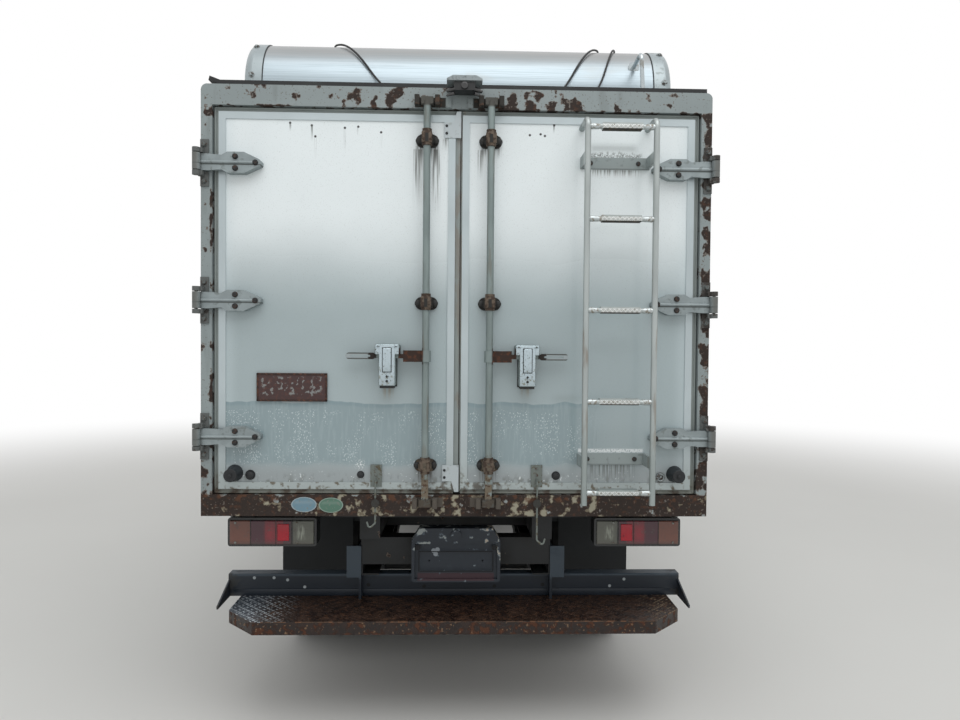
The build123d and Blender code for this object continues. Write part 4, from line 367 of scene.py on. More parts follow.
def add_block(bm, low, high, edge=0.0, segments=2):
    """A block between two corners with its edges rounded."""
    low, high = Vector(low), Vector(high)
    place = Matrix.Translation((low + high) / 2) @ Matrix.Diagonal((*(high - low), 1))
    verts = bmesh.ops.create_cube(bm, size=1, matrix=place)["verts"]
    if edge:
        edges = list({line for vert in verts for line in vert.link_edges})
        bmesh.ops.bevel(
            bm, geom=edges, offset=edge, affect="EDGES", segments=segments, profile=0.5, material=-1
        )
    return verts


def add_sided(bm, side, low, high, edge=0.0, segments=2):
    """A block given for the right side, laid on this side of the truck."""
    x = sorted((side * low[0], side * high[0]))
    return add_block(bm, (x[0], *low[1:]), (x[1], *high[1:]), edge, segments)


def add_bolt(bm, place, outward, across, proud=None, washer=1.55):
    """A hexagon bolt head with a chamfered top on its round washer."""
    place, outward = Vector(place), Vector(outward).normalized()
    radius = across / math.sqrt(3)
    proud = across * 0.42 if proud is None else proud
    if washer:
        add_rod(bm, place - outward * 0.002, place + outward * 0.0022, across * washer / 2, segments=18)
    neck = place + outward * (0.002 + proud * 0.75)
    add_rod(bm, place, neck, radius, segments=6)
    add_rod(bm, neck, neck + outward * proud * 0.25, radius, radius * 0.78, segments=6)


def add_dome(bm, place, outward, radius, proud, segments=14):
    """A rounded button or rubber stop standing on a surface."""
    place, outward = Vector(place), Vector(outward).normalized()
    rings = ((1.0, 0.0), (1.0, 0.45), (0.88, 0.78), (0.5, 1.0))
    for (wide, low), (narrow, high) in zip(rings, rings[1:]):
        start, end = place + outward * proud * low, place + outward * proud * high
        add_rod(bm, start, end, radius * wide, radius * narrow, segments)


def as_mesh(name, bm):
    """The bmesh as a mesh. The bmesh is freed."""
    mesh = bpy.data.meshes.new(name)
    bm.to_mesh(mesh)
    bm.free()
    return mesh


def placed(name, data):
    """A new object with this data, in the scene."""
    thing = bpy.data.objects.new(name, data)
    bpy.context.scene.collection.objects.link(thing)
    return thing


def finished(name, bm, body, material, crease=35, replaces=()):
    """Turns a bmesh into a named piece on its body, with its finish."""
    bmesh.ops.recalc_face_normals(bm, faces=bm.faces)
    mesh = as_mesh(name, bm)
    for face in mesh.polygons:
        face.use_smooth = True
    mesh.set_sharp_from_angle(angle=math.radians(crease))
    mesh.materials.append(material)
    piece = placed(name, mesh)
    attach(piece, body)
    if replaces:
        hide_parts(*replaces)
    return piece


def plain(name, colour, roughness, metallic=0.0, spot="#4a3b32", low=0.48, high=0.62, size=0.008):
    """A small fitting's finish: its own colour, spotted with rust or dust."""
    s = Surface(name, colour, roughness, metallic)
    s.coat(s.spots(size, low, high, detail=5.0), spot, 0.85, 0.0)
    s.relief(s.grain(0.002, detail=2.0), 0.08)
    return s.done()


class TRUCK_OT_rear_portal(bpy.types.Operator):
    """Finish the rear steel frame with its rust, lip and camera"""
    bl_idname = "truck.rear_portal"
    bl_label = "Rear portal"

    def frame_steel(self, paints):
        """Sprayed and chipped steel: pale grey-blue, rusting from its edges, its right post and its sill; the
        rust in the top reveal and on the left post's inner edge also paints the reveal's shade.
        """
        s = Surface("sprayed_steel_portal", paints.portal, 0.45)
        s.mottle(0.25, 0.06)
        s.coat(s.spots(0.05, 0.55, 0.75, 0.5, stretch=(1, 1, 5)), "#6f7675", 0.6)
        s.coat(s.spots(0.006, 0.64, 0.70, 0.8), "#5b5149", 0.8)
        push = s.most(
            s.rise(s.z, 0.93, 0.912, 0.30),
            s.rise(s.z, 1.16, 0.93, 0.15),
            s.both(s.rise(s.x, 0.900, 0.914), s.rise(s.z, 2.44, 2.25, 0.15)),
            # Rust pushed into the top reveal, partly painted shade of the reveal
            s.both(s.zone(side=(-0.1, 0.93), z=(2.300, 2.3475), soft=0.005), 0.13),
            s.both(s.zone(x=(-0.50, -0.14), z=(2.33, 2.43), soft=0.06), 0.115),
            s.both(s.zone(x=(0.16, 0.46), z=(2.33, 2.40), soft=0.03), 0.15),
            s.both(s.zone(x=(0.56, 0.72), z=(2.33, 2.36), soft=0.02), 0.15),
            s.both(s.rise(s.side, 0.90, 0.94), s.rise(s.z, 2.37, 2.42, 0.12)),
            # Rust pushed along the left post's inner edge, partly painted shade of the reveal
            s.both(s.zone(x=(-0.908, -0.894), z=(1.0, 2.05), soft=0.004), 0.12),
        )
        s.rust(push, 0.635, 0.040)
        low = s.rise(s.z, 0.925, 0.915)
        value = s.work("ADD", s.grain(0.035, detail=9.0, shift=11.0), s.rise(s.side, 0.75, 0.30, 0.07))
        s.coat(s.both(low, s.rise(value, 0.62, 0.645)), "#6f6656", 0.85, raised=0.3)
        s.coat(s.both(low, s.rise(value, 0.66, 0.69)), "#94907f", 0.75)
        orange = s.both(s.spots(0.03, 0.53, 0.62, detail=7.0, shift=4.0), s.rise(s.z, 0.885, 0.905), low)
        s.coat(s.both(orange, 0.7), "#5d3c28", 0.9)
        proud = s.rise(s.y, REAR - 0.0003, REAR - 0.001)
        top = s.both(proud, s.zone(side=(0.050, 0.164), z=(2.33, 2.40)))
        s.coat(top, "#26241f", 0.8)
        s.coat(s.both(top, s.spots(0.02, 0.52, 0.62, detail=5.0)), "#4c3a2e", 0.9)
        s.coat(s.both(proud, s.zone(side=(0.050, 0.164), z=(0.86, 0.92))), "#504a43", 0.8)
        s.coat(s.both(proud, s.rise(s.side, 0.905, 0.908), 0.75), "#3f3d3a", 0.75)
        s.relief(s.grain(0.09), 0.6)
        return s.done()

    def execute(self, context):
        wear(self.frame_steel(context.scene.truck_paints), "rear_portal")

        # Extruded rubber lip: black, dusty along its top
        s = Surface("weathered_black_rubber", "#17191a", 0.62)
        s.coat(s.spots(0.02, 0.5, 0.72, 0.5, stretch=(6, 1, 1)), "#3b3f3f", 0.85)
        wear(s.done(), "roof_lip")

        # Moulded black housing under a weathered grey sheet hood
        s = Surface("moulded_camera_housing", "#141617", 0.4)
        s.coat(s.rise(s.z, 2.420, 2.4225), "#8c9496", 0.5, 0.3)
        s.coat(s.spots(0.01, 0.5, 0.7, 0.5), "#2c2f2f", 0.7)
        wear(s.done(), "rear_camera")

        # Camera eye in its ring, and the cable glands that stand out at its sides
        bm = bmesh.new()
        eye = CAMERA_EYE
        add_rod(bm, eye + Vector((0, 0.002, 0)), eye - Vector((0, 0.0015, 0)), 0.013, 0.0125, segments=32)
        add_dome(bm, eye - Vector((0, 0.001, 0)), (0, -1, 0), 0.009, 0.0012, 24)
        for way in (-1, 1):
            for drop, size in ((0.0, 0.009), (-0.016, 0.007)):
                start = Vector((eye.x + way * 0.036, -2.330, 2.404 + drop))
                end = start + Vector((way * 0.020, 0.006, -0.004))
                add_rod(bm, start, end, size, size * 0.8)
                add_dome(bm, end, (way, 0.2, -0.3), size * 0.75, 0.010)
        glass = Surface("coated_camera_glass", "#08090b", 0.08, Coat_Weight=1.0)
        glass.coat(glass.spots(0.006, 0.5, 0.7, 0.4), "#1a1c1e", 0.4)
        finished("camera_eye_and_glands", bm, "chassis", glass.done())

        # Printed vinyl ovals, left blank: a pale rim round a faded field with a lighter band
        for name, place, half, field, rim in (
            ("blue", (-0.563, 0.883), (0.047, 0.028), "#688796", "#94a3a9"),
            ("green", (-0.464, 0.881), (0.045, 0.028), "#4f7363", "#83978d"),
        ):
            s = Surface("blank_vinyl_oval_" + name, rim, 0.35)
            away = s.away(s.x, *place, *half)
            s.coat(s.rise(away, 0.86, 0.80), field, 0.35)
            band = s.zone(z=(place[1] + 0.004, place[1] + 0.013), soft=0.006)
            s.coat(s.both(s.rise(away, 0.80, 0.5), band, 0.35), rim)
            s.coat(s.spots(0.012, 0.56, 0.66, 0.7, detail=5.0), "#7d817a", 0.8)
            bm = bmesh.new()
            middle = Vector((place[0], REAR - 0.0004, place[1]))
            add_rod(bm, middle, middle - Vector((0, 0.0006, 0)), 1.0, segments=48)
            for vert in bm.verts:
                vert.co.x = place[0] + (vert.co.x - place[0]) * half[0]
                vert.co.z = place[1] + (vert.co.z - place[1]) * half[1]
            finished("sill_oval_" + name, bm, "chassis", s.done())

        # Painted bolt heads of the hinge lugs on the posts
        bm = bmesh.new()
        for side in (-1, 1):
            for height in HINGE_HEIGHTS:
                for way in (-1, 1):
                    place = (side * 0.926, REAR - 0.006, height + way * 0.066)
                    add_bolt(bm, place, (0, -1, 0), 0.015, 0.007, 1.4)
        painted = plain("painted_lug_bolts", "#5e6463", 0.6, 0.3)
        finished("hinge_lug_bolts", bm, "chassis", painted)
        return {"FINISHED"}


class TRUCK_OT_door_leaves(bpy.types.Operator):
    """Finish the two insulated door leaves with their trims, seals, stops and sign"""
    bl_idname = "truck.door_leaves"
    bl_label = "Door leaves"

    def laminate(self, paints):
        """Glossy laminate, bright where it is clean, dulled by a film below, with a band of cold drops."""
        s = Surface("glossy_door_laminate", paints.laminate, 0.22, Coat_Weight=0.3, Coat_Roughness=0.08)
        cloud = s.both(s.grain(0.3, detail=2.0), 0.10)
        s.coat(s.rise(s.work("ADD", s.z, cloud), 2.03, 1.62), paints.film, 0.34)
        s.coat(s.rise(s.z, 1.08, 0.98, 0.75), "#949a9c", 0.5)
        s.coat(s.rise(s.side, 0.80, 0.86, 0.35), "#c9d7db", 0.25)
        s.mottle(0.35, 0.03)
        s.coat(s.spots(0.0025, 0.62, 0.70, 0.35, stretch=(1, 1, 1.5)), "#8d9492", 0.6)
        # All that follows has reached the outer face alone: the inner one, shut away, stays clean
        s.only = s.rise(s.y, PANEL_FACE + 0.03, PANEL_FACE + 0.02)
        wave = s.both(s.grain(0.11, stretch=(1, 1, 50), detail=2.0), 0.045)
        level = s.work("ADD", s.z, wave)
        band = s.both(s.rise(level, 1.287, 1.283), s.rise(level, 1.035, 1.070))
        wet = s.both(band, s.rise(s.x, 0.62, 0.36, 0.8))
        s.coat(wet, "#83969b", 0.12)
        s.coat(s.both(wet, s.rise(level, 1.266, 1.278, 0.5)), "#718a92", 0.1)
        runs = s.spots(0.010, 0.50, 0.62, stretch=(1, 1, 9), detail=3.0, shift=2.0)
        s.coat(s.both(wet, runs, 0.35), "#9fb0b4", 0.1)
        drops = s.rise(s.cells(0.0055, stretch=(1, 1, 1.7)), 0.34, 0.20)
        drops = s.both(drops, s.rise(level, 1.262, 1.25), wet, s.spots(0.05, 0.44, 0.58, stretch=(1, 1, 2.5)))
        s.coat(drops, "#cfdcdf", 0.05, raised=0.4)
        # Runs below the guides, the brackets, the cases and the nail heads along the top
        s.drips([(-0.117, 2.212, 0.052, 0.10), (0.117, 2.212, 0.046, 0.05)], "#34342f", 0.9, 0.004)
        rods = [(-0.152, 2.20, 0.022, 0.24), (-0.084, 2.20, 0.020, 0.27), (0.080, 2.20, 0.014, 0.12)]
        s.drips(rods, "#474842", 0.85)
        brackets = [(0.579, 2.135, 0.12, 0.035), (0.579, 1.032, 0.11, 0.075), (-0.045, 2.238, 0.020, 0.05)]
        s.drips(brackets, "#555852", 0.7)
        s.drips([(-0.256, 1.322, 0.024, 0.06), (0.256, 1.322, 0.024, 0.05)], "#9b8760", 0.5)
        s.drips([(-0.117, 1.004, 0.040, 0.06), (0.117, 1.004, 0.040, 0.06)], "#4b443b", 0.8)
        nails = [(-0.621, 2.288), (-0.542, 2.280), (-0.421, 2.273), (-0.372, 2.278), (-0.288, 2.259),
                 (-0.529, 2.240), (0.352, 2.296), (0.262, 2.258), (0.302, 2.262), (0.318, 2.256)]
        s.spatter(nails, 0.0045, "#39383a")
        below = [(x, z, 0.0045, 0.035 + 0.03 * (at % 3)) for at, (x, z) in enumerate(nails[:7])]
        s.drips(below, "#4d4e4b", 0.8)
        # Soft darker grey bands under and beside two rungs, mould above the upper bracket and frost above the
        # lower one
        s.coat(s.both(s.zone(x=(0.49, 0.66), z=(2.205, 2.222), soft=0.018), 0.55), "#6b7573", 0.6)
        s.coat(s.both(s.zone(x=(0.36, 0.45), z=(1.275, 1.285), soft=0.02), 0.35), "#6b7573", 0.6)
        ragged = s.work("ADD", s.z, s.both(s.grain(0.012, stretch=(1, 1, 9)), 0.035))
        mould = s.both(s.zone(x=(0.48, 0.68), soft=0.008), s.rise(ragged, 2.219, 2.204))
        s.coat(s.both(mould, s.spots(0.005, 0.40, 0.55), s.rise(s.z, 2.17, 2.178), 0.75), "#5e6461", 0.8)
        frost = s.both(s.zone(x=(0.455, 0.70), z=(1.077, 1.091), soft=0.004), s.spots(0.006, 0.36, 0.50))
        s.coat(s.both(frost, 0.9), "#e8edee", 0.6, raised=0.5)
        scuff = s.both(s.zone(x=(-0.375, -0.345), z=(1.015, 1.045), soft=0.012), s.spots(0.006, 0.5, 0.6))
        s.coat(scuff, "#dfe5e5", 0.5)
        splash = s.spots(0.02, 0.5, 0.66, 0.7, stretch=(1, 1, 2))
        s.coat(s.both(s.rise(s.z, 1.005, 0.965), splash), "#6c706b", 0.7)
        s.coat(s.both(s.rise(s.z, 1.02, 0.98), s.spots(0.009, 0.66, 0.70)), "#d8dfe0", 0.5)
        return s.done()

    def seals(self):
        """Extruded grey rubber lips that close the gap round each leaf: a bead and a flap, grimy below."""
        s = Surface("extruded_grey_seal_rubber", "#868e8c", 0.55)
        s.mottle(0.15, 0.07)
        s.coat(s.rise(s.z, 1.05, 0.95, 0.6), "#6c6b60", 0.7)
        grime = s.both(s.spots(0.04, 0.46, 0.62, detail=7.0), s.rise(s.z, 1.02, 0.94))
        s.coat(s.both(grime, 0.85), "#4b3e33", 0.85)
        worn = s.spots(0.04, 0.48, 0.60, 0.5, stretch=(1, 1, 3), detail=4.0)
        s.coat(s.both(s.rise(s.side, 0.03, 0.02), worn), "#7b6e62")
        rubber = s.done()
        front, back = PANEL_FACE - 0.001, PANEL_FACE + 0.016
        gap, own, bead = 0.0025, 0.013, 0.0042
        outer, high, low = OPENING_SIDE - gap, OPENING_HIGH - gap, OPENING_LOW + gap
        for name, side in (("right", 1), ("left", -1)):
            bm = bmesh.new()
            inner = 0.008 if side > 0 else -0.0055
            for near, far in (
                ((LEAF_SIDE, LEAF_LOW), (outer, LEAF_HIGH)), ((own, LEAF_HIGH), (outer, high)),
                ((own, low), (outer, LEAF_LOW)), ((inner, LEAF_LOW - 0.008), (own, high)),
            ):
                add_sided(bm, side, (near[0], front + 0.004, near[1]), (far[0], back, far[1]), 0.0012, 1)
            at, top, foot = outer - bead, high - bead, low + bead
            for start, end in (((at, foot), (at, top)), ((own, top), (at, top)), ((own, foot), (at, foot))):
                y = front + bead
                add_rod(bm, (side * start[0], y, start[1]), (side * end[0], y, end[1]), bead, segments=10)
            finished(name + "_door_seal_lips", bm, name + "_rear_door", rubber)

    def sign(self):
        """Rusted blank sign plate with paint left in pale scraps, and bright stainless meeting plates."""
        s = Surface("rusted_sign_and_stainless_plates", "#b4bdc0", 0.34, 0.4)
        s.coat(s.both(s.rise(s.x, -0.2, -0.1), s.spots(0.02, 0.56, 0.66, 0.6, detail=5.0)), "#9aa1a0", 0.5)
        plate = s.rise(s.x, -0.40, -0.41)
        s.coat(plate, "#43302f", 0.72, 0.0)
        inner = s.zone(x=(-0.722, -0.500), z=(1.284, 1.354), soft=0.006)
        value = s.work("ADD", s.grain(0.016, detail=9.0, shift=2.0), s.both(inner, 0.03))
        s.coat(s.both(plate, s.rise(value, 0.595, 0.62), inner), "#7f8180", 0.6, raised=0.15)
        s.coat(s.both(plate, s.spots(0.012, 0.5, 0.66, 0.7, detail=5.0)), "#5a3d37", 0.85)
        wear(s.done(), "left_rear_door_plates")
        bm = bmesh.new()
        near, far = PANEL_FACE - 0.0095, PANEL_FACE - 0.001
        (left, right), (foot, top), fold = SIGN_X, SIGN_Z, 0.008
        for low, high in (
            ((left, top - fold), (right, top)), ((left, foot), (right, foot + fold)),
            ((left, foot), (left + fold, top)), ((right - fold, foot), (right, top)),
        ):
            add_block(bm, (low[0], near, low[1]), (high[0], far, high[1]), 0.002)
        rim = plain("rusted_sign_rim", "#33231f", 0.8, spot="#5a3a2c")
        finished("sign_rim", bm, "left_rear_door", rim)

    def stops(self):
        """Black rubber stops, screw heads and rivets on the doors' faces, and the ring bolt."""
        black = plain("moulded_black_rubber", "#15181b", 0.55, spot="#2a2c2d")
        rivet = plain("aluminium_rivets", "#6d736f", 0.45, 0.6)
        for name, side, stops, screws in (
            ("left", -1, [(-0.764, 0.990, 0.015, 0.014), (-0.357, 0.992, 0.011, 0.010)],
             [(-0.046, 2.285), (-0.046, 2.258), (-0.046, 1.010), (-0.046, 0.983)]),
            ("right", 1, [(0.372, 0.990, 0.013, 0.013)], []),
        ):
            bm = bmesh.new()
            for x, z, radius, proud in stops:
                add_rod(bm, (x, PANEL_FACE, z), (x, PANEL_FACE - 0.002, z), radius * 1.25)
                add_dome(bm, (x, PANEL_FACE - 0.002, z), (0, -1, 0), radius, proud)
            for x, z in screws:
                add_dome(bm, (x, DOOR_FACE - 0.003, z), (0, -1, 0), 0.0052, 0.003)
            buffer = Vector((side * 0.821, -2.332, 0.997))
            add_rod(bm, buffer, buffer - Vector((0, 0.002, 0)), 0.024, 0.022, segments=28)
            add_bolt(bm, buffer - Vector((0, 0.001, 0)), (0, -1, 0), 0.013, 0.004, 1.4)
            finished(name + "_door_stops", bm, name + "_rear_door", black)
            bm = bmesh.new()
            for z in (1.017, 0.992, 0.966):
                add_dome(bm, (side * HOOK_X, PANEL_FACE - 0.009, z), (0, -1, 0), 0.006, 0.003)
            finished(name + "_hook_rivets", bm, name + "_rear_door", rivet)
        bm = bmesh.new()
        eye = Vector((0.767, PANEL_FACE - 0.001, 0.985))
        add_rod(bm, eye, eye - Vector((0, 0.002, 0)), 0.019, segments=28)
        wire = Matrix.Translation(eye + Vector((0.013, -0.0055, 0)))
        ring = bmesh.ops.create_circle(bm, segments=12, radius=0.0035, matrix=wire)["verts"]
        rim = list({edge for vert in ring for edge in vert.link_edges})
        bmesh.ops.spin(
            bm, geom=ring + rim, cent=eye, axis=(0, 1, 0), angle=2 * math.pi, steps=24, use_merge=True
        )
        add_bolt(bm, eye - Vector((0, 0.001, 0)), (0, -1, 0), 0.011, 0.004, None)
        zinc = plain("zinc_ring_bolt", "#8b9293", 0.45, 0.6)
        finished("door_ring_bolt", bm, "right_rear_door", zinc)

    def execute(self, context):
        wear(self.laminate(context.scene.truck_paints), "left_rear_door_panel", "right_rear_door_panel")
        # Extruded aluminium with draw lines; behind it the grey rubber seal, dusty and stained below
        s = Surface("extruded_aluminium_and_seal", "#b6c1c4", 0.36, 0.5)
        s.mottle(0.2, 0.05)
        s.coat(s.rise(s.z, 1.15, 0.96, 0.5), "#9aa29e", 0.5)
        dirt = s.both(s.spots(0.025, 0.53, 0.66, detail=6.0), s.rise(s.z, 1.05, 0.95))
        s.coat(dirt, "#6c675b", 0.85, 0.0)
        near_rods = s.both(s.rise(s.side, 0.24, 0.10), s.rise(s.z, 0.99, 0.95))
        s.coat(s.both(near_rods, s.spots(0.02, 0.42, 0.58, detail=6.0), 0.8), "#574f44", 0.85, 0.0)
        s.coat(s.rise(s.y, PANEL_FACE + 0.001, PANEL_FACE + 0.002), "#7c8482", 0.7, 0.0)
        wear(s.done(), "left_rear_door_edging", "right_rear_door_edging")
        self.seals()
        self.sign()
        self.stops()
        return {"FINISHED"}


class TRUCK_OT_door_gear(bpy.types.Operator):
    """Finish the lock rods, guides, cases, handles, hooks, buffers and hinges of the doors"""
    bl_idname = "truck.door_gear"
    bl_label = "Door gear"

    def gear(self):
        """Galvanised tube gone dull, black guides, rusted handles and feet, by place on the doors."""
        s = Surface("galvanised_lock_gear", "#7e8a89", 0.5, 0.4)
        s.mottle(0.03, 0.10, stretch=(1, 1, 4))
        s.coat(s.spots(0.05, 0.55, 0.7, 0.45, stretch=(0.4, 0.4, 3)), "#6b6458", 0.8, 0.0)
        for height in GUIDE_HEIGHTS:
            s.coat(s.zone(side=(0.070, 0.164), z=(height - 0.0255, height + 0.0255)), "#1f1e1b", 0.75, 0.0)
        foot = s.both(s.rise(s.z, 1.10, 0.99), s.zone(side=(0.09, 0.15)))
        s.coat(s.both(foot, s.spots(0.02, 0.36, 0.52, detail=6.0)), "#6d6354", 0.85, 0.0)
        s.coat(s.both(foot, s.spots(0.012, 0.55, 0.62, detail=6.0, shift=5.0)), "#4e3c2f", 0.9, 0.0)
        ends = s.most(s.rise(s.z, 2.340, 2.350), s.rise(s.z, 0.914, 0.906))
        s.coat(s.both(ends, s.zone(side=(0.09, 0.15)), 0.85), "#413b34", 0.85, 0.0)
        handle = s.zone(side=(0.126, 0.216), z=(1.405, 1.465))
        s.coat(handle, "#33241d", 0.9, 0.0, raised=0.3)
        s.coat(s.both(handle, s.spots(0.016, 0.52, 0.62, detail=6.0)), "#523425", 0.95, 0.0)
        s.coat(s.zone(side=(0.296, 0.330), z=(1.42, 1.45)), "#241e1a", 0.85, 0.0)
        grip = s.zone(side=(0.327, 0.42), z=(1.415, 1.455))
        s.coat(grip, "#99a2a4", 0.3, 0.8)
        off_middle = s.work("ABSOLUTE", s.work("SUBTRACT", s.z, HANDLE_HEIGHT))
        s.coat(s.both(grip, s.rise(off_middle, 0.0065, 0.0085)), "#50534f", 0.6, 0.3)
        hooks = s.zone(side=(0.27, 0.34), z=(0.5, 1.04))
        s.coat(hooks, "#6f7672", 0.5, 0.5)
        s.coat(s.both(hooks, s.spots(0.012, 0.52, 0.64, detail=5.0)), "#56503f", 0.85, 0.0)
        s.coat(s.both(s.zone(side=(0.27, 0.33), z=(0.875, 0.912)), 0.9), "#25221f", 0.8, 0.0)
        s.coat(s.rise(s.side, 0.77, 0.78), "#1d2226", 0.55, 0.0)
        s.relief(s.grain(0.004, detail=2.0), 0.12)
        return s.done()

    def cases(self, side, body, chrome, black):
        """Lock case cover in chrome with its raised paddle, over black plates that paint the shade round the
        case, the paddle, its foot, the notches and the key holes, and the guides' nuts.
        """
        face = CASE_FACE
        bm = bmesh.new()
        for low, high in (
            ((0.2275, face - 0.006, 1.3275), (0.2845, face, 1.4775)),
            ((0.2135, face - 0.004, 1.4415), (0.2985, face + 0.002, 1.4775)),
            ((0.2410, face - 0.011, 1.3780), (0.2710, face - 0.005, 1.4640)),
            ((0.2170, face - 0.009, 1.4670), (0.2310, face - 0.002, 1.4760)),
            ((0.2810, face - 0.009, 1.4670), (0.2950, face - 0.002, 1.4760)),
        ):
            add_sided(bm, side, low, high, 0.0024, 3)
        middle = Vector((side * CASE_X, face - 0.006, BUTTON_HEIGHT))
        add_rod(bm, middle, middle - Vector((0, 0.0025, 0)), 0.0085, 0.0078, segments=28)
        finished(body + "_case_cover", bm, body, chrome)
        # Black plates that paint the shade round the case's sides and foot, the paddle's outline, the top
        # notches and the key holes, then the guides' real black nuts
        bm = bmesh.new()
        for low, high in (
            ((0.2235, PANEL_FACE - 0.004, 1.3215), (0.2885, PANEL_FACE, 1.4500)),
            ((0.2385, face - 0.0072, 1.3755), (0.2735, face - 0.0055, 1.4665)),
            ((0.2300, face - 0.0015, 1.3180), (0.2820, PANEL_FACE - 0.01, 1.3262)),
            ((0.2200, face - 0.0095, 1.4699), (0.2280, face - 0.0085, 1.4731)),
            ((0.2840, face - 0.0095, 1.4699), (0.2920, face - 0.0085, 1.4731)),
        ):
            add_sided(bm, side, low, high, 0.0003, 1)
        for drop, depth, radius in ((0.0, 0.0082, 0.0045), (-0.017, 0.0058, 0.0048)):
            start = Vector((side * CASE_X, face - depth, BUTTON_HEIGHT + drop))
            add_rod(bm, start, start - Vector((0, 0.0008, 0)), radius)
        for height in GUIDE_HEIGHTS:
            for way in (-1, 1):
                place = (side * ROD_X + way * 0.031, PANEL_FACE - 0.008, height)
                add_dome(bm, place, (0, -1, 0), 0.0125, 0.011)
        finished(body + "_shade_plates_and_nuts", bm, body, black)

    def execute(self, context):
        bolt = context.scene.truck_fittings.bolt
        wear(self.gear(), "left_rear_door_gear", "right_rear_door_gear")

        # Cast aluminium hinge straps: mid grey with spots of dirt, with painted shade round the knuckles and
        # lug bolts and in a line under the rib
        s = Surface("cast_aluminium_hinges", "#8f999b", 0.5, 0.4)
        s.mottle(0.04, 0.10)
        # Painted shade: the knuckle and lug ends darkened
        s.coat(s.rise(s.side, 0.925, 0.945, 0.75), "#5a5751", 0.8, 0.1)
        s.coat(s.spots(0.02, 0.56, 0.68, 0.6, detail=5.0), "#6c7270", 0.7)
        # Painted shade: a dark line under each strap's rib
        for height in HINGE_HEIGHTS:
            s.coat(s.zone(z=(height - 0.0095, height - 0.0060), soft=0.0016), "#5b605f", 0.7)
        s.relief(s.grain(0.003, detail=2.0), 0.15)
        wear(s.done(), "left_rear_door_hinges", "right_rear_door_hinges")

        dark = plain("aged_zinc_plated_bolts", "#2b2d2e", 0.55, 0.5, "#43342c")
        # Black finish for the painted shade plates at the lock cases and for the guides' nuts
        black = plain("black_case_shade_plates_and_nuts", "#1a1c1c", 0.6, spot="#33322e")
        saddle = plain("rusted_rod_clamps", "#5f5347", 0.75, 0.1, "#3b2e25", 0.44, 0.56, 0.014)
        s = Surface("chromed_zinc_lock_case", "#b3c1c7", 0.18, 0.7)
        s.coat(s.both(s.spots(0.012, 0.52, 0.66, detail=5.0), s.rise(s.z, 1.45, 1.34)), "#8a8e84", 0.6, 0.1)
        s.coat(s.spots(0.006, 0.60, 0.68), "#6f7671", 0.6)
        chrome = s.done()
        for name, side in (("right", 1), ("left", -1)):
            body = name + "_rear_door"
            bm = bmesh.new()
            for height in HINGE_HEIGHTS:
                tip = HINGE_X - 0.228
                for x, drop in ((tip + 0.020, 0.0), (tip + 0.092, 0.021), (tip + 0.092, -0.021)):
                    add_bolt(bm, (side * x, STRAP_FACE, height + drop), (0, -1, 0), bolt, 0.006, 1.25)
            finished(name + "_hinge_bolts", bm, body, dark)
            self.cases(side, body, chrome, black)

            # Rusted saddles that clamp the rods to their guides
            bm = bmesh.new()
            x = side * ROD_X
            for height in GUIDE_HEIGHTS:
                near, far = ROD_Y - 0.019, PANEL_FACE - 0.006
                add_block(bm, (x - 0.0195, near, height - 0.018), (x + 0.0195, far, height + 0.024), 0.005)
                for low, high in ((-0.026, -0.017), (0.023, 0.034)):
                    add_rod(bm, (x, ROD_Y, height + low), (x, ROD_Y, height + high), 0.0175, segments=24)
            finished(name + "_rod_saddles", bm, body, saddle)
        return {"FINISHED"}


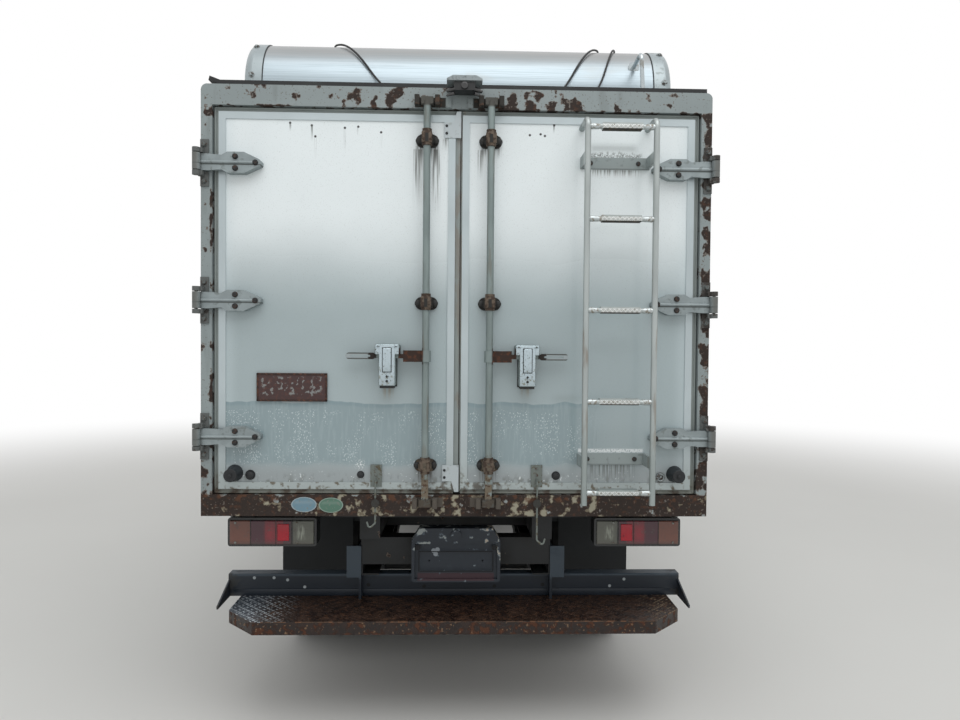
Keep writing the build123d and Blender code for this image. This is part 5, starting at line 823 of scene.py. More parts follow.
class TRUCK_OT_ladder(bpy.types.Operator):
    """Finish the climbing ladder with its rung sleeves, tread plates and bracket bolts"""
    bl_idname = "truck.ladder"
    bl_label = "Ladder"

    def execute(self, context):
        # Galvanised tube worn bright at the treads, brackets with chalky paint
        s = Surface("galvanised_ladder_tube", "#a9b0af", 0.38, 0.55)
        s.mottle(0.05, 0.10, stretch=(1, 1, 4))
        s.coat(s.spots(0.04, 0.56, 0.68, 0.6, stretch=(1, 1, 5), detail=5.0), "#86796a", 0.7, 0.1)
        s.coat(s.rise(s.z, 1.35, 1.0, 0.55), "#8b9694", 0.5)
        bracket = s.rise(s.y, PANEL_FACE - 0.062, PANEL_FACE - 0.056)
        s.coat(bracket, "#959f9f", 0.55, 0.2)
        for height in BRACKET_HEIGHTS:
            s.coat(s.both(bracket, s.zone(z=(height - 0.024, height - 0.018)), 0.5), "#636967", 0.7)
        s.coat(s.both(bracket, s.spots(0.02, 0.58, 0.66, 0.6, detail=5.0)), "#7c8482")
        wear(s.done(), "ladder")

        # Rolled aluminium treads with crossed ribs, dirty on their lower edges
        s = Surface("ribbed_tread_plates", "#b9bdbb", 0.4, 0.5)
        s.coat(s.spots(0.01, 0.52, 0.66, detail=5.0), "#8d8a80", 0.7, 0.1)
        for operation in ("ADD", "SUBTRACT"):
            rib = s.rise(s.wave(s.work(operation, s.x, s.z), RIB_PITCH), 0.5, 0.9)
            s.coat(rib, "#d3d6d4", 0.35, 0.6, raised=0.5)
        ribbed = s.done()
        bright = plain("bright_rung_sleeves", "#bcc3c4", 0.3, 0.7, "#8b877d")
        dark = plain("dark_tread_rubber", "#2b2b29", 0.8, spot="#4c4336")
        treads, sleeves, undersides = bmesh.new(), bmesh.new(), bmesh.new()
        for height in RUNG_HEIGHTS:
            near, far = LADDER_Y - 0.0092, LADDER_Y + 0.0225
            add_block(treads, (0.5055, near, height - 0.0075), (0.6525, far, height + 0.0090), 0.0022)
            low, high = (0.509, near + 0.0012, height - 0.0105), (0.649, far - 0.0015, height - 0.007)
            add_block(undersides, low, high, 0.0012)
            for rail, way in ((LADDER_X[0], 1), (LADDER_X[1], -1)):
                start = Vector((rail + way * 0.0105, LADDER_Y, height))
                neck = start + Vector((way * 0.011, 0, 0))
                add_rod(sleeves, start, neck, 0.0108)
                add_rod(sleeves, neck, neck + Vector((way * 0.021, 0, 0)), 0.0108, 0.0095)
        finished("ladder_treads", treads, "right_rear_door", ribbed)
        finished("ladder_sleeves", sleeves, "right_rear_door", bright)
        finished("tread_undersides", undersides, "right_rear_door", dark)

        bm = bmesh.new()
        for height in BRACKET_HEIGHTS:
            for x in (0.489, 0.667):
                add_bolt(bm, (x, PANEL_FACE - 0.006, height), (0, -1, 0), 0.013, 0.006, 1.35)
        zinc = plain("ladder_bracket_bolts", "#3a3e3f", 0.5, 0.5)
        finished("ladder_bolts", bm, "right_rear_door", zinc)
        return {"FINISHED"}


class TRUCK_OT_roof_unit(bpy.types.Operator):
    """Finish the cooling unit's cowl, its end caps, its fans and the grab strut"""
    bl_idname = "truck.roof_unit"
    bl_label = "Roof unit"

    def execute(self, context):
        # Rolled polished aluminium: fine lines along the roll that are partly roll marks and partly painted
        # streaks of reflection, faint scuffs, and a warm tint on top that is a painted reflection
        s = Surface("rolled_aluminium_cowl", "#a8b5bc", 0.32, 0.5)
        s.mottle(0.5, 0.04)
        # Painted reflection: a warm tint over the top of the cowl
        s.coat(s.rise(s.z, 2.56, 2.66, 0.6), "#948a82", 0.38)
        # Fine dark lines along the roll: roll marks that also paint streaks of reflection
        s.coat(s.spots(0.0035, 0.52, 0.62, 0.45, stretch=(150, 1, 1), detail=2.0), "#8c999f", 0.4)
        s.coat(s.spots(0.0012, 0.52, 0.66, 0.25, stretch=(150, 1, 1), detail=2.0), "#78848a", 0.4)
        s.coat(s.spots(0.12, 0.60, 0.72, 0.4, stretch=(3, 1, 1), detail=5.0), "#a5a9a8", 0.5)
        s.relief(s.grain(0.0035, stretch=(120, 1, 1), detail=2.0), 0.05)
        wear(s.done(), "unit_cowl")
        s = Surface("pressed_aluminium_end_caps", "#9aa4a7", 0.36, 0.5)
        s.mottle(0.08, 0.06)
        s.coat(s.spots(0.02, 0.58, 0.68, 0.5, detail=5.0), "#7a807e", 0.6)
        wear(s.done(), "unit_end_caps")

        # Bolts of the end caps, and the dark seams where the caps lap the cowl
        bolts, seams = bmesh.new(), bmesh.new()
        for side in (-1, 1):
            for turn in (8, 52):
                angle = math.radians(turn)
                outward = Vector((0, -math.cos(angle), math.sin(angle)))
                place = Vector((side * 0.812, UNIT_CREST_Y, UNIT_BEND)) + outward * (UNIT_RADIUS + 0.004)
                add_bolt(bolts, place, outward, 0.014, 0.005, 1.7)
            x = side * (UNIT_SIDE - UNIT_CAP - 0.0015)
            reach = UNIT_RADIUS + 0.0012
            line = [Vector((x, UNIT_CREST_Y - reach, 2.416))]
            for turn in range(0, 82, 3):
                angle = math.radians(turn)
                y, z = UNIT_CREST_Y - reach * math.cos(angle), UNIT_BEND + reach * math.sin(angle)
                line.append(Vector((x, y, z)))
            for start, end in zip(line, line[1:]):
                add_rod(seams, start, end, 0.0022, segments=6)
        zinc = plain("cap_bolts_zinc", "#8b9394", 0.4, 0.6)
        seal = plain("dark_cap_seal", "#2a2d2e", 0.7, spot="#3d3f3e")
        finished("cap_bolts", bolts, "chassis", zinc)
        finished("cap_seams", seams, "chassis", seal)

        # Moulded black fan guards and blades, dusty
        s = Surface("moulded_black_fan_parts", "#1b1d1e", 0.5)
        s.coat(s.spots(0.05, 0.5, 0.7, 0.5, detail=4.0), "#4a4b48", 0.85)
        wear(s.done(), "unit_fans_and_grille")

        # Polished stainless tube with brown tea stains
        s = Surface("polished_stainless_tube", "#b4bcbf", 0.2, 0.85)
        s.coat(s.spots(0.03, 0.54, 0.68, 0.7, detail=4.0), "#7c776d", 0.5, 0.3)
        wear(s.done(), "roof_strut")
        return {"FINISHED"}


class TRUCK_OT_roof_cables(bpy.types.Operator):
    """Lay the black cables up the back of the cooling unit"""
    bl_idname = "truck.roof_cables"
    bl_label = "Roof cables"

    def route(self, start_x, meet_x, end_x):
        """A cable's points: from under the roof lip, up round the unit's back and onto its sloping top."""
        radius = UNIT_RADIUS + 0.009 + CABLE_RADIUS
        points = [
            (start_x, REAR + 0.092, 2.424),
            ((start_x + meet_x) / 2, REAR + 0.132, 2.442),
        ]
        for step, turn in enumerate((6, 26, 46, 66, 86)):
            angle = math.radians(turn)
            x = meet_x + (end_x - meet_x) * step / 4
            points.append((x, UNIT_CREST_Y - radius * math.cos(angle), UNIT_BEND + radius * math.sin(angle)))
        points.append((end_x, UNIT_CREST_Y + 0.080, 2.69095))
        return points

    def execute(self, context):
        # Extruded black cable sheath, dusty
        s = Surface("extruded_cable_sheath", "#111213", 0.55)
        s.coat(s.spots(0.02, 0.5, 0.7, 0.4), "#2c2c2b", 0.8)
        sheath = s.done()
        for index, ends in enumerate(CABLE_ROUTES):
            points = self.route(*ends)
            curve = bpy.data.curves.new("roof_cable_%d" % (index + 1), "CURVE")
            curve.dimensions = "3D"
            curve.bevel_depth = CABLE_RADIUS
            curve.bevel_resolution = 3
            curve.resolution_u = 12
            curve.use_fill_caps = True
            spline = curve.splines.new("NURBS")
            spline.points.add(len(points) - 1)
            for knot, point in zip(spline.points, points):
                knot.co = (*point, 1)
            spline.order_u = 3
            spline.use_endpoint_u = True
            curve.materials.append(sheath)
            cable = placed(curve.name, curve)
            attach(cable, "chassis")
            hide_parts("roof_cables")
        return {"FINISHED"}


class TRUCK_OT_lamps_and_bumper(bpy.types.Operator):
    """Finish the tail lamps, the plate holder, the bumper, the step and the flaps"""
    bl_idname = "truck.lamps_and_bumper"
    bl_label = "Lamps and bumper"

    def lamps(self):
        """Moulded acrylic lens over a black housing: amber, deep red, bright red and clear, road-dirty."""
        face = LAMP_FACE
        s = Surface("moulded_lamp_lenses", "#1b1d1e", 0.45, Coat_Weight=0.4, Coat_Roughness=0.08)
        lens = s.rise(s.y, face - 0.0006, face - 0.0012)
        for low, high, code in (
            (0.779, 0.880, "#6d4438"), (0.725, 0.779, "#47232e"), (0.655, 0.725, "#6c222c"),
            (0.627, 0.655, "#43202b"), (0.500, 0.619, "#56584f"),
        ):
            s.coat(s.both(lens, s.zone(side=(low, high), soft=0.004)), code, 0.16)
        bulb = s.zone(side=(0.576, 0.602), z=(0.735, 0.785), soft=0.010)
        s.coat(s.both(lens, bulb, s.spots(0.006, 0.35, 0.6, 0.7, stretch=(1, 1, 6))), "#9a9f93", 0.12)
        s.coat(s.both(lens, s.zone(side=(0.69, 0.72), z=(0.735, 0.785), soft=0.016), 0.8), "#8a1f2c", 0.12)
        s.relief(s.both(lens, s.wave(s.x, LENS_PITCH)), 0.12)
        s.coat(s.both(lens, s.spots(0.03, 0.54, 0.72, 0.55, detail=5.0)), "#453d39", 0.5)
        s.coat(s.both(lens, s.rise(s.z, 0.735, 0.712, 0.6)), "#3f3833", 0.6)
        wear(s.done(), "tail_lamps")
        squares, seams, screws = bmesh.new(), bmesh.new(), bmesh.new()
        top = face - 0.009
        for side in (-1, 1):
            add_sided(squares, side, (0.6335, top - 0.0030, 0.7290), (0.6775, top + 0.001, 0.7930), 0.0025, 3)
            for at in (0.779, 0.6835, 0.6235):
                low, high = (at - 0.0012, top - 0.0012, 0.7125), (at + 0.0012, top + 0.001, 0.8065)
                add_sided(seams, side, low, high, 0.0005, 1)
            for at in (0.836, 0.604):
                for z in (0.722, 0.797):
                    add_dome(screws, (side * at, top, z), (0, -1, 0), 0.0045, 0.003)
        red = plain("moulded_reflector", "#a51a2a", 0.2, spot="#7c1a26", low=0.6, high=0.75, size=0.02)
        dark = plain("lamp_seams", "#1a1b1c", 0.5, 0.2, spot="#4a453e")
        bright = plain("lamp_screws", "#7d7f7b", 0.4, 0.6, spot="#4f4438")
        finished("lamp_reflectors", squares, "chassis", red)
        finished("lamp_seam_lines", seams, "chassis", dark)
        finished("lamp_screw_heads", screws, "chassis", bright)

    def holder(self, paints):
        """Navy paint over primer, peeled to pale scale at the upper corners, with a maroon strip below."""
        s = Surface("peeling_navy_plate_holder", paints.navy, 0.5)
        s.coat(s.spots(0.05, 0.55, 0.7, 0.5), "#2d343b", 0.8)
        s.coat(s.zone(z=(0.552, 0.580), x=(-0.150, 0.150)), "#3f2d33", 0.75)
        corner = s.both(s.rise(s.side, 0.06, 0.16), s.rise(s.z, 0.66, 0.72, 0.15))
        right = s.both(s.rise(s.x, 0.135, 0.168), s.rise(s.z, 0.62, 0.67, 0.16))
        push = s.most(corner, right, s.rise(s.z, 0.700, 0.740, 0.06))
        value = s.work("ADD", s.grain(0.028, detail=9.0, shift=5.0), push)
        s.coat(s.rise(value, 0.64, 0.67), "#4f5962", 0.7, raised=-0.2)
        s.coat(s.rise(value, 0.685, 0.705), "#939a99", 0.65)
        s.coat(s.both(s.rise(value, 0.70, 0.73), s.rise(s.x, 0.05, 0.1)), "#b4a898", 0.7)
        s.spatter([(-0.088, 0.668), (-0.080, 0.655), (-0.073, 0.672)], 0.009, "#8d949b")
        wear(s.done(), "plate_holder")
        bm = bmesh.new()
        x, y = 0.145, -2.1525
        corners = [(-x, y, 0.590), (-x, y, 0.668), (x, y, 0.668), (x, y, 0.590)]
        for start, end in zip(corners, corners[1:] + corners[:1]):
            add_rod(bm, start, end, 0.0018, segments=8)
        for side in (-1, 1):
            add_rod(bm, (side * 0.150, -2.1515, 0.684), (side * 0.150, -2.1535, 0.684), 0.0105, segments=24)
        dark = plain("dark_recesses", "#0c0e11", 0.8, spot="#1b1c1d")
        finished("holder_holes_and_seam", bm, "chassis", dark)

    def bumper(self, paints):
        """Brushed-on navy paint, chipped here and there, pale and dusty along its upper edge."""
        s = Surface("navy_painted_beam", paints.navy, 0.42)
        s.coat(s.rise(s.z, 0.518, 0.530, 0.7), "#46535e", 0.6)
        s.coat(s.spots(0.09, 0.50, 0.7, 0.6, stretch=(2, 1, 1), detail=5.0), "#222e39", 0.7)
        s.coat(s.both(s.rise(s.side, 0.86, 0.92), s.spots(0.03, 0.45, 0.6, 0.8, detail=6.0)), "#3a3a38", 0.8)
        chips = [(-0.825, 0.516), (-0.745, 0.516), (-0.690, 0.507),
                 (-0.62, 0.478), (0.700, 0.508), (0.640, 0.480)]
        s.spatter(chips, 0.006, "#a9b1b4")
        s.spatter([(-0.36, 0.486), (0.36, 0.486), (-0.13, 0.480), (0.16, 0.480)], 0.008, "#07090b")
        paint = s.done()
        wear(paint, "rear_bumper")
        bm = bmesh.new()
        add_block(bm, (-0.929, -1.9995, 0.4405), (0.929, -1.9925, 0.4700), 0.002)
        for side in (-1, 1):
            for vert in add_sided(bm, side, (0.9235, -2.150, 0.4410), (0.9295, -1.945, 0.5300)):
                if vert.co.y < -2.1 and vert.co.z > 0.5:
                    vert.co.z = 0.452
        finished("bumper_flange_and_ends", bm, "chassis", paint)

    def step(self):
        """Rolled tread plate under dark wet rust, worn bright at the left end, flaking along its edges."""
        s = Surface("rusted_tread_plate", "#1b100c", 0.38, 0.05)
        across = s.work("ADD", s.x, s.y)
        counter = s.work("SUBTRACT", s.x, s.y)
        top = s.rise(s.z, STEP_TOP - 0.0015, STEP_TOP + 0.0015)
        bars = []
        for run, cross in ((across, counter), (counter, across)):
            wide = s.work("ABSOLUTE", s.wave(run, 2 * BAR_PITCH))
            long = s.wave(cross, 2 * BAR_PITCH)
            bars.append(s.both(s.rise(wide, 0.78, 0.93), s.rise(long, 0.1, 0.5), top))
        bar = s.most(*bars)
        s.relief(bar, 1.2)
        s.coat(s.spots(0.05, 0.45, 0.65, 0.8, detail=6.0), "#28170f", 0.55)
        s.coat(s.both(bar, 0.35), "#3d251a", 0.40)
        front = s.rise(s.z, STEP_TOP, STEP_TOP - 0.0035)
        value = s.grain(0.026, detail=8.0, shift=9.0)
        s.coat(s.both(front, s.rise(value, 0.47, 0.55)), "#301f17", 0.9, 0.0, raised=0.4)
        s.coat(s.both(front, s.rise(value, 0.56, 0.62)), "#4c2d1d", 0.95, 0.0)
        s.coat(s.both(front, s.spots(0.011, 0.62, 0.67, 0.8, detail=7.0, shift=3.0)), "#7c634c", 0.9, 0.0)
        edge = s.zone(z=(STEP_TOP - 0.001, STEP_TOP + 0.002), soft=0.0012)
        rim = s.most(edge, s.both(top, s.zone(y=(-1.998, -1.985))))
        s.coat(s.both(rim, s.spots(0.03, 0.42, 0.56, 0.8, detail=6.0)), "#634a38", 0.85)
        s.coat(s.both(rim, s.spots(0.02, 0.55, 0.62, 0.7, detail=6.0, shift=6.0)), "#8a5f41", 0.85)
        s.coat(s.both(top, s.rise(s.x, -0.70, -0.82, 0.8)), "#4b5560", 0.3, 0.3)
        s.coat(s.both(s.rise(s.x, -0.60, -0.80), bar, s.spots(0.05, 0.30, 0.55)), "#dce6ec", 0.25, 0.5)
        s.coat(s.both(s.rise(s.x, 0.70, 0.84, 0.75), bar, s.spots(0.04, 0.42, 0.56)), "#8c7a62", 0.7)
        wear(s.done(), "tread_step")

    def execute(self, context):
        paints = context.scene.truck_paints
        self.lamps()
        self.holder(paints)
        self.bumper(paints)
        self.step()
        # Moulded rubber, grey with road dust
        s = Surface("moulded_mud_flap_rubber", "#181b1d", 0.75)
        s.coat(s.spots(0.15, 0.45, 0.7, 0.6, detail=5.0), "#2b2e30", 0.9)
        wear(s.done(), "mud_flaps")
        return {"FINISHED"}


class TRUCK_OT_chassis(bpy.types.Operator):
    """Finish the chassis frame, axles, engine, tank, batteries and exhaust"""
    bl_idname = "truck.chassis"
    bl_label = "Chassis"

    def execute(self, context):
        # Dipped black chassis paint under road dust, rusting at its edges
        s = Surface("chassis_black_paint", "#191c1e", 0.55)
        s.coat(s.spots(0.12, 0.45, 0.7, 0.6, detail=5.0), "#2f2f2d", 0.85)
        s.rust(s.rise(s.grain(0.4), 0.5, 0.7, 0.08), 0.70)
        wear(s.done(), "chassis_frame", "box_subframe", "battery_box", "front_axle", "rear_axle",
             "left_front_knuckle", "right_front_knuckle")

        # Sand-cast iron: dark grey-brown, rough, oily in patches
        s = Surface("sand_cast_iron", "#3c3d3d", 0.7, 0.3)
        s.coat(s.spots(0.08, 0.5, 0.65, 0.7, detail=6.0), "#2a2623", 0.4)
        s.coat(s.spots(0.05, 0.58, 0.7, 0.6, detail=6.0, shift=4.0), "#5a4334", 0.9, 0.0)
        s.relief(s.grain(0.004, detail=3.0), 0.4)
        wear(s.done(), "powertrain")

        # Aluminised steel tank with straps, water-stained
        s = Surface("aluminised_tank_steel", "#a2a7a8", 0.4, 0.6)
        s.mottle(0.15, 0.08)
        s.coat(s.spots(0.06, 0.54, 0.7, 0.6, stretch=(1, 1, 3), detail=5.0), "#6c675e", 0.8, 0.1)
        wear(s.done(), "fuel_tank")

        # Aluminised exhaust steel, heat-browned and rusting at the seams
        s = Surface("heat_stained_exhaust_steel", "#6f6a63", 0.55, 0.6)
        s.rust(s.rise(s.grain(0.2), 0.4, 0.7, 0.12), 0.62)
        wear(s.done(), "exhaust")

        # Moulded grey bumper, stone-chipped low down
        s = Surface("moulded_front_bumper", "#8d9192", 0.5)
        s.mottle(0.2, 0.04)
        s.coat(s.both(s.rise(s.cells(0.02), 0.10, 0.06), s.rise(s.z, 0.50, 0.38)), "#4f5152", 0.8)
        s.coat(s.rise(s.z, 0.45, 0.36, 0.4), "#77756e", 0.8)
        s.relief(s.grain(0.0015, detail=2.0), 0.05)
        wear(s.done(), "front_bumper")
        return {"FINISHED"}


class TRUCK_OT_wheels(bpy.types.Operator):
    """Make the grooved tyres and finish the wheels with their nuts"""
    bl_idname = "truck.wheels"
    bl_label = "Wheels"

    def tyre(self, middle):
        """One tyre: its cross-section spun about its axle, then shoulder blocks parted by cross slots."""
        bm = bmesh.new()
        groove = bpy.context.scene.truck_fittings.groove
        half, bead = TYRE_HALF, BEAD_HALF
        right = [
            (bead, RIM_RADIUS), (bead, RIM_RADIUS + 0.016),
            (half - 0.006, RIM_RADIUS + 0.040), (half - 0.001, RIM_RADIUS + 0.060),
            (half, RIM_RADIUS + 0.078), (half - 0.003, RIM_RADIUS + 0.100),
            (half - 0.008, WHEEL_RADIUS - 0.026), (half - 0.012, WHEEL_RADIUS - 0.018),
            (half - 0.026, WHEEL_RADIUS - 0.004), (half - 0.034, WHEEL_RADIUS - 0.0015),
        ]
        for outer, inner in ((0.055, 0.050), (0.020, 0.014)):
            right += [
                (outer, WHEEL_RADIUS), (outer - 0.0008, WHEEL_RADIUS - groove),
                (inner + 0.0008, WHEEL_RADIUS - groove), (inner, WHEEL_RADIUS),
            ]
        outline = right + [(-x, radius) for x, radius in reversed(right)]
        verts = [bm.verts.new((middle.x + x, middle.y, middle.z + radius)) for x, radius in outline]
        edges = [bm.edges.new(pair) for pair in zip(verts, verts[1:] + verts[:1])]
        bmesh.ops.spin(
            bm, geom=verts + edges, cent=middle, axis=(1, 0, 0), angle=2 * math.pi, steps=TYRE_STEPS,
            use_merge=True,
        )
        bmesh.ops.remove_doubles(bm, verts=bm.verts, dist=0.00005)
        blocks = []
        for face in bm.faces:
            spot = face.calc_center_median() - middle
            turn = round(math.atan2(spot.z, spot.y) / (2 * math.pi) * TYRE_STEPS - 0.5)
            if math.hypot(spot.y, spot.z) > WHEEL_RADIUS - 0.004 and turn % 2 == 0 and abs(spot.x) > 0.05:
                blocks.append(face)
        bmesh.ops.inset_individual(bm, faces=blocks, thickness=0.0025, depth=-groove * 0.6)
        return as_mesh("one_tyre", bm)

    def execute(self, context):
        nut = context.scene.truck_fittings.nut
        # Moulded tyre rubber: charcoal, brown dust in the tread, a grey scuffed sidewall
        s = Surface("moulded_tyre_rubber", "#1c1d1e", 0.72)
        s.coat(s.spots(0.05, 0.45, 0.68, 0.6, detail=5.0), "#393837", 0.9)
        s.relief(s.grain(0.003, detail=2.0), 0.15)
        rubber = s.done()
        # Sprayed silver wheel paint, brake dust and rust round the hand holes
        s = Surface("sprayed_silver_wheel", "#9a9d9c", 0.42, 0.4)
        s.mottle(0.05, 0.07)
        s.coat(s.spots(0.03, 0.55, 0.68, 0.7, detail=6.0), "#5c4a3d", 0.85, 0.0)
        wear(s.done(), "left_front_rim", "right_front_rim", "left_rear_rims", "right_rear_rims")
        nuts = plain("rusted_wheel_nuts", "#6b625a", 0.6, 0.5)
        for name, side in (("right", 1), ("left", -1)):
            for body, piece, tyre, place, shifts, face in (
                ("front_wheel", "front_tread", "front_tyre", FRONT_WHEEL, (0,), FRONT_HUB),
                ("rear_wheels", "rear_treads", "rear_tyres", REAR_WHEEL, (-TWIN_HALF, TWIN_HALF), REAR_HUB),
            ):
                bm = bmesh.new()
                for shift in shifts:
                    mesh = self.tyre(Vector(((place.x + shift) * side, place.y, place.z)))
                    bm.from_mesh(mesh)
                    bpy.data.meshes.remove(mesh)
                body = name + "_" + body
                finished(name + "_" + piece, bm, body, rubber, 30, [name + "_" + tyre])
                bm = bmesh.new()
                for turn in range(30, 360, 60):
                    along_y = NUT_CIRCLE * math.cos(math.radians(turn))
                    up = NUT_CIRCLE * math.sin(math.radians(turn))
                    at = (side * face, place.y + along_y, place.z + up)
                    add_bolt(bm, at, (side, 0, 0), nut, 0.018, 1.35)
                finished(body + "_nuts", bm, body, nuts)
        return {"FINISHED"}


class TRUCK_OT_body(bpy.types.Operator):
    """Finish the insulated body's walls, rails, roof and floor"""
    bl_idname = "truck.body"
    bl_label = "Body"

    def execute(self, context):
        paints = context.scene.truck_paints
        # Glossy laminate on foam: clean and white, faint streaks from the roof edge, splashed low down
        s = Surface("body_laminate_panel", paints.body, 0.28, Coat_Weight=0.2, Coat_Roughness=0.1)
        s.mottle(0.6, 0.025)
        streak = s.spots(0.02, 0.52, 0.68, stretch=(1, 1, 30))
        s.coat(s.both(streak, s.rise(s.z, 1.6, 2.4, 0.35)), "#9aa3a3", 0.5)
        s.coat(s.rise(s.z, 1.25, 0.84, 0.45), "#a9a79e", 0.6)
        s.relief(s.grain(0.35), 0.8)
        wear(s.done(), "box_side_walls", "box_front_wall", "box_roof")

        # Extruded aluminium rails, dulled
        s = Surface("extruded_aluminium_rails", "#b0b6b7", 0.42, 0.7)
        s.mottle(0.3, 0.06)
        s.coat(s.spots(0.06, 0.55, 0.7, 0.5, detail=5.0), "#7f8280", 0.7, 0.2)
        wear(s.done(), "box_rails")

        # Gritted phenolic floor board, brown-grey
        s = Surface("gritted_floor_board", "#77716a", 0.8)
        s.mottle(0.3, 0.08)
        s.relief(s.grain(0.002, detail=2.0), 0.3)
        wear(s.done(), "box_floor")
        return {"FINISHED"}


class TRUCK_OT_cab(bpy.types.Operator):
    """Finish the cab's shell, doors, glass, lamps, mirrors and inside"""
    bl_idname = "truck.cab"
    bl_label = "Cab"

    def seats(self):
        """Woven covers over foam: padded panels with sunk seams between them."""
        s = Surface("woven_seat_cloth", "#5a6066", 0.92)
        weave = s.both(s.wave(s.x, THREAD_PITCH), s.wave(s.z, THREAD_PITCH))
        s.relief(weave, 0.25)
        s.coat(s.rise(s.cells(0.018, feature="DISTANCE_TO_EDGE"), 0.06, 0.02, 0.5), "#44494e", 0.95)
        s.mottle(0.12, 0.08)
        bm = bmesh.new()
        run = BACK_HEAD - BACK_FOOT
        lean = Matrix.Rotation(-math.atan2(run.y, run.z), 4, "X")
        for middle, width, panels in (DRIVER_SEAT, BENCH_SEAT):
            part = (width - 0.05) / panels
            for index in range(panels):
                x = middle - width / 2 + 0.025 + part * (index + 0.5)
                half = part / 2 - 0.003
                low = (x - half, SEAT_REAR + 0.095, SEAT_TOP - 0.012)
                high = (x + half, SEAT_FRONT - 0.012, SEAT_TOP + 0.018)
                add_block(bm, low, high, 0.014, 3)
                add_block(bm, (-half, -0.010, 0.03), (half, 0.018, run.length - 0.03), 0.013, 3)
                fresh = [vert for vert in bm.verts if abs(vert.co.y) < 0.03]
                place = Matrix.Translation(BACK_FOOT + Vector((x, 0, 0)))
                bmesh.ops.transform(bm, verts=fresh, matrix=place @ lean)
        covers = finished("seat_cover_panels", bm, "cab", s.done())

    def fittings(self):
        """Wipers on the windscreen, mirror glasses and the tank's filler cap."""
        bm = bmesh.new()
        slope = (SCREEN_HEAD - SCREEN_FOOT).normalized()
        outward = Vector((0, slope.z, -slope.y))
        for pivot, tip in ((0.32, 0.60), (-0.30, -0.02)):
            foot = SCREEN_FOOT + slope * -0.004 + Vector((pivot, 0, 0))
            near = SCREEN_FOOT + slope * 0.040 - outward * 0.008 + Vector((tip - 0.50, 0, 0))
            far = SCREEN_FOOT + slope * 0.060 - outward * 0.008 + Vector((tip, 0, 0))
            add_rod(bm, near, far, 0.0075, segments=8)
            add_rod(bm, foot - outward * 0.006, foot + outward * 0.016, 0.013, 0.010)
            add_rod(bm, foot + outward * 0.012, (near + far) / 2 + outward * 0.006, 0.006, 0.0045, 8)
        black = plain("sprayed_black_wipers", "#141617", 0.5, spot="#2c2d2d")
        finished("windscreen_wipers", bm, "cab", black)
        bm = bmesh.new()
        for side in (-1, 1):
            low = (MIRROR.x - 0.078, MIRROR.y - 0.0015, MIRROR.z - 0.137)
            high = (MIRROR.x + 0.078, MIRROR.y + 0.001, MIRROR.z + 0.137)
            add_sided(bm, side, low, high, 0.001, 1)
        s = Surface("silvered_mirror_glass", "#c6cdd0", 0.04, 1.0)
        s.coat(s.spots(0.05, 0.55, 0.72, 0.4, detail=5.0), "#9a9d9b", 0.35)
        finished("mirror_glasses", bm, "cab", s.done())
        bm = bmesh.new()
        filler = Vector((0.674, -0.030, 0.700))
        add_rod(bm, filler - Vector((0, 0, 0.022)), filler, 0.041, segments=18)
        low, high = filler + Vector((-0.030, -0.006, -0.002)), filler + Vector((0.030, 0.006, 0.010))
        add_block(bm, low, high, 0.003)
        finished("filler_cap", bm, "chassis", black)

    def execute(self, context):
        paints = context.scene.truck_paints
        # Stoved white enamel under clear gloss, dusty toward the sills, with black moulded handles
        s = Surface("stoved_cab_enamel", paints.cab, 0.26, Coat_Weight=0.4, Coat_Roughness=0.06)
        s.mottle(0.5, 0.02)
        s.coat(s.rise(s.z, 1.0, 0.62, 0.5), "#b3b0a7", 0.6)
        s.coat(s.spots(0.03, 0.60, 0.70, 0.5, stretch=(1, 1, 6), detail=5.0), "#bdbdb6", 0.5)
        s.coat(s.both(s.rise(s.side, 0.8485, 0.8495), s.rise(s.y, 1.5, 1.4)), "#1b1d1e", 0.5)
        wear(s.done(), "cab_front_panel", "cab_side_frames", "cab_roof", "cab_back_panel",
             "left_cab_door_panel", "right_cab_door_panel")
        self.seats()
        self.fittings()

        # Laminated float glass, green-grey
        glass = Surface("laminated_float_glass", "#dfeae6", 0.02, IOR=1.5, Transmission_Weight=1.0)
        wear(glass.done(), "cab_windows", "left_cab_door_glass", "right_cab_door_glass")

        # Moulded black grille beside polycarbonate headlamps with a bright bowl behind
        s = Surface("grille_and_lamp_mouldings", "#1b1d1e", 0.5, Coat_Weight=0.5, Coat_Roughness=0.04)
        lamp = s.rise(s.side, 0.545, 0.548)
        s.coat(lamp, "#8e979a", 0.15, 0.6)
        away = s.work("SQRT", s.away(s.side, *LAMP_BOWL))
        s.coat(s.both(lamp, s.rise(away, 0.068, 0.064)), "#dfe5e7", 0.08, 0.8)
        s.coat(s.both(lamp, s.rise(away, 0.062, 0.066), s.rise(away, 0.072, 0.068)), "#3b4042", 0.3, 0.4)
        s.coat(s.both(lamp, s.rise(away, 0.020, 0.017)), "#f0ecdc", 0.1, 0.0)
        s.relief(s.both(lamp, s.wave(s.x, FLUTE_PITCH)), 0.25)
        s.coat(s.rise(s.side, 0.748, 0.751), "#c9782b", 0.15, 0.1)
        wear(s.done(), "cab_grille_and_headlamps")

        # Moulded grey trim with a fine leather grain
        s = Surface("moulded_cab_trim", "#4c4f51", 0.65)
        s.relief(s.cells(0.003), 0.2)
        s.mottle(0.2, 0.05)
        wear(s.done(), "cab_floor", "cab_interior")

        # Moulded black mirror housings on black tube
        s = Surface("moulded_black_mirrors", "#151718", 0.45)
        s.coat(s.spots(0.04, 0.5, 0.7, 0.4), "#2d2f30", 0.7)
        wear(s.done(), "mirrors")
        return {"FINISHED"}


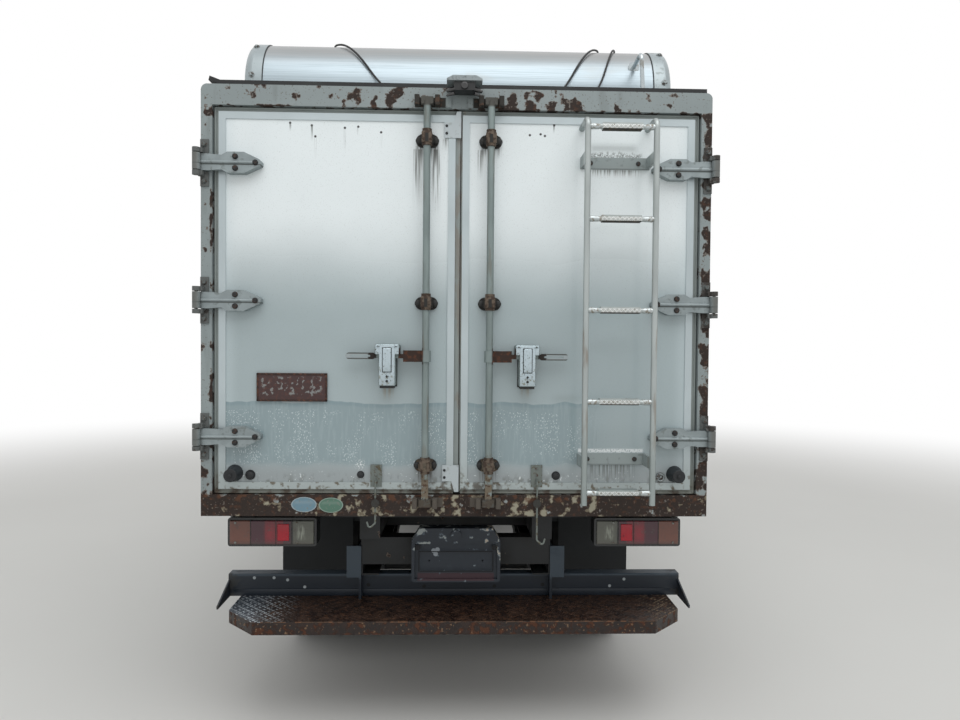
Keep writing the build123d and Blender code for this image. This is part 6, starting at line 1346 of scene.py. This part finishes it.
class TRUCK_OT_stage(bpy.types.Operator):
    """Set the plain floor, the soft light and the camera at the photograph's place"""
    bl_idname = "truck.stage"
    bl_label = "Stage"

    def execute(self, context):
        studio = context.scene.truck_studio
        scene = context.scene
        bm = bmesh.new()
        bmesh.ops.create_circle(bm, cap_ends=True, segments=96, radius=40)
        floor = placed("studio_floor", as_mesh("studio_floor", bm))
        # Matt painted floor that fades to plain white away from the truck
        s = Surface("matt_studio_floor", studio.floor, 0.9)
        s.mottle(1.5, 0.01)
        floor.data.materials.append(s.done())
        rays = s.add("LightPath").outputs
        seen = s.most(rays["Is Camera Ray"], rays["Is Glossy Ray"], rays["Is Transmission Ray"])
        away = s.add("VectorMath", {0: s.place}, operation="LENGTH").outputs["Value"]
        fade = s.both(seen, s.rise(away, 4.0, 11.0))
        white = s.add("Emission", {"Color": (1, 1, 1, 1), "Strength": 1.0}).outputs[0]
        mix = s.add("MixShader", {0: fade, 1: s.shader.outputs[0], 2: white}).outputs[0]
        s.tree.links.new(mix, s.tree.nodes["Material Output"].inputs["Surface"])

        world = bpy.data.worlds.new("studio")
        scene.world = world
        world.use_nodes = True
        tree = world.node_tree
        path = add_node(tree, "LightPath").outputs
        seen = path["Is Camera Ray"]
        for ray in ("Is Glossy Ray", "Is Transmission Ray"):
            seen = add_node(tree, "Math", {0: seen, 1: path[ray]}, operation="MAXIMUM").outputs[0]
        level = add_node(tree, "MapRange", {"Value": seen, "To Min": studio.sky, "To Max": 1.0}).outputs[0]
        tree.links.new(level, tree.nodes["Background"].inputs["Strength"])
        tree.nodes["Background"].inputs["Color"].default_value = (1, 1, 1, 1)

        lamp = bpy.data.lights.new("overhead_softbox", "AREA")
        lamp.energy = studio.lamp
        lamp.shape = "RECTANGLE"
        lamp.size = 6
        lamp.size_y = 5
        softbox = placed("overhead_softbox", lamp)
        softbox.matrix_world = along(SOFTBOX_PLACE, (0, -1.0, 1.0)) @ Matrix.Rotation(math.pi, 4, "X")
        softbox.location = SOFTBOX_PLACE

        data = bpy.data.cameras.new("photo_camera")
        data.sensor_width = PHOTO_SENSOR
        data.lens = PHOTO_LENS
        data.clip_start = 0.05
        data.clip_end = 200
        camera = placed("photo_camera", data)
        yaw, pitch, roll = (math.radians(angle) for angle in PHOTO_ANGLES)
        turn = Matrix.Rotation(yaw, 4, "Z") @ Matrix.Rotation(pitch, 4, "X") @ Matrix.Rotation(roll, 4, "Y")
        place = Matrix.Translation(PHOTO_PLACE)
        camera.matrix_world = place @ turn @ Matrix.Rotation(math.pi / 2, 4, "X")
        scene.camera = camera
        scene.view_settings.view_transform = "Standard"
        return {"FINISHED"}


PARTS = (
    TRUCK_OT_stage, TRUCK_OT_roof_cables, TRUCK_OT_rear_portal, TRUCK_OT_door_leaves, TRUCK_OT_door_gear,
    TRUCK_OT_ladder, TRUCK_OT_roof_unit, TRUCK_OT_lamps_and_bumper, TRUCK_OT_chassis, TRUCK_OT_wheels,
    TRUCK_OT_body, TRUCK_OT_cab,
)
SETTINGS = {
    "truck_paints": TruckPaints, "truck_wear": TruckWear,
    "truck_fittings": TruckFittings, "truck_studio": TruckStudio,
}


class TRUCK_PT_panel(bpy.types.Panel):
    """Lists the truck's pieces and settings"""
    bl_label = "Refrigerated truck"
    bl_idname = "TRUCK_PT_panel"
    bl_space_type = "VIEW_3D"
    bl_region_type = "UI"
    bl_category = "Truck"

    def draw(self, context):
        for name in SETTINGS:
            box = self.layout.box()
            group = getattr(context.scene, name)
            for setting in group.__annotations__:
                box.prop(group, setting)
        for part in PARTS:
            self.layout.operator(part.bl_idname)


def register():
    for group in SETTINGS.values():
        bpy.utils.register_class(group)
    for name, group in SETTINGS.items():
        setattr(bpy.types.Scene, name, bpy.props.PointerProperty(type=group))
    for part in (*PARTS, TRUCK_PT_panel):
        bpy.utils.register_class(part)


def unregister():
    for part in reversed((*PARTS, TRUCK_PT_panel)):
        bpy.utils.unregister_class(part)
    for name, group in SETTINGS.items():
        delattr(bpy.types.Scene, name)
        bpy.utils.unregister_class(group)


def main():
    """Makes every piece in order."""
    register()
    for part in PARTS:
        getattr(bpy.ops.truck, part.bl_idname.split(".")[1])()


if __name__ == "__main__":
    main()
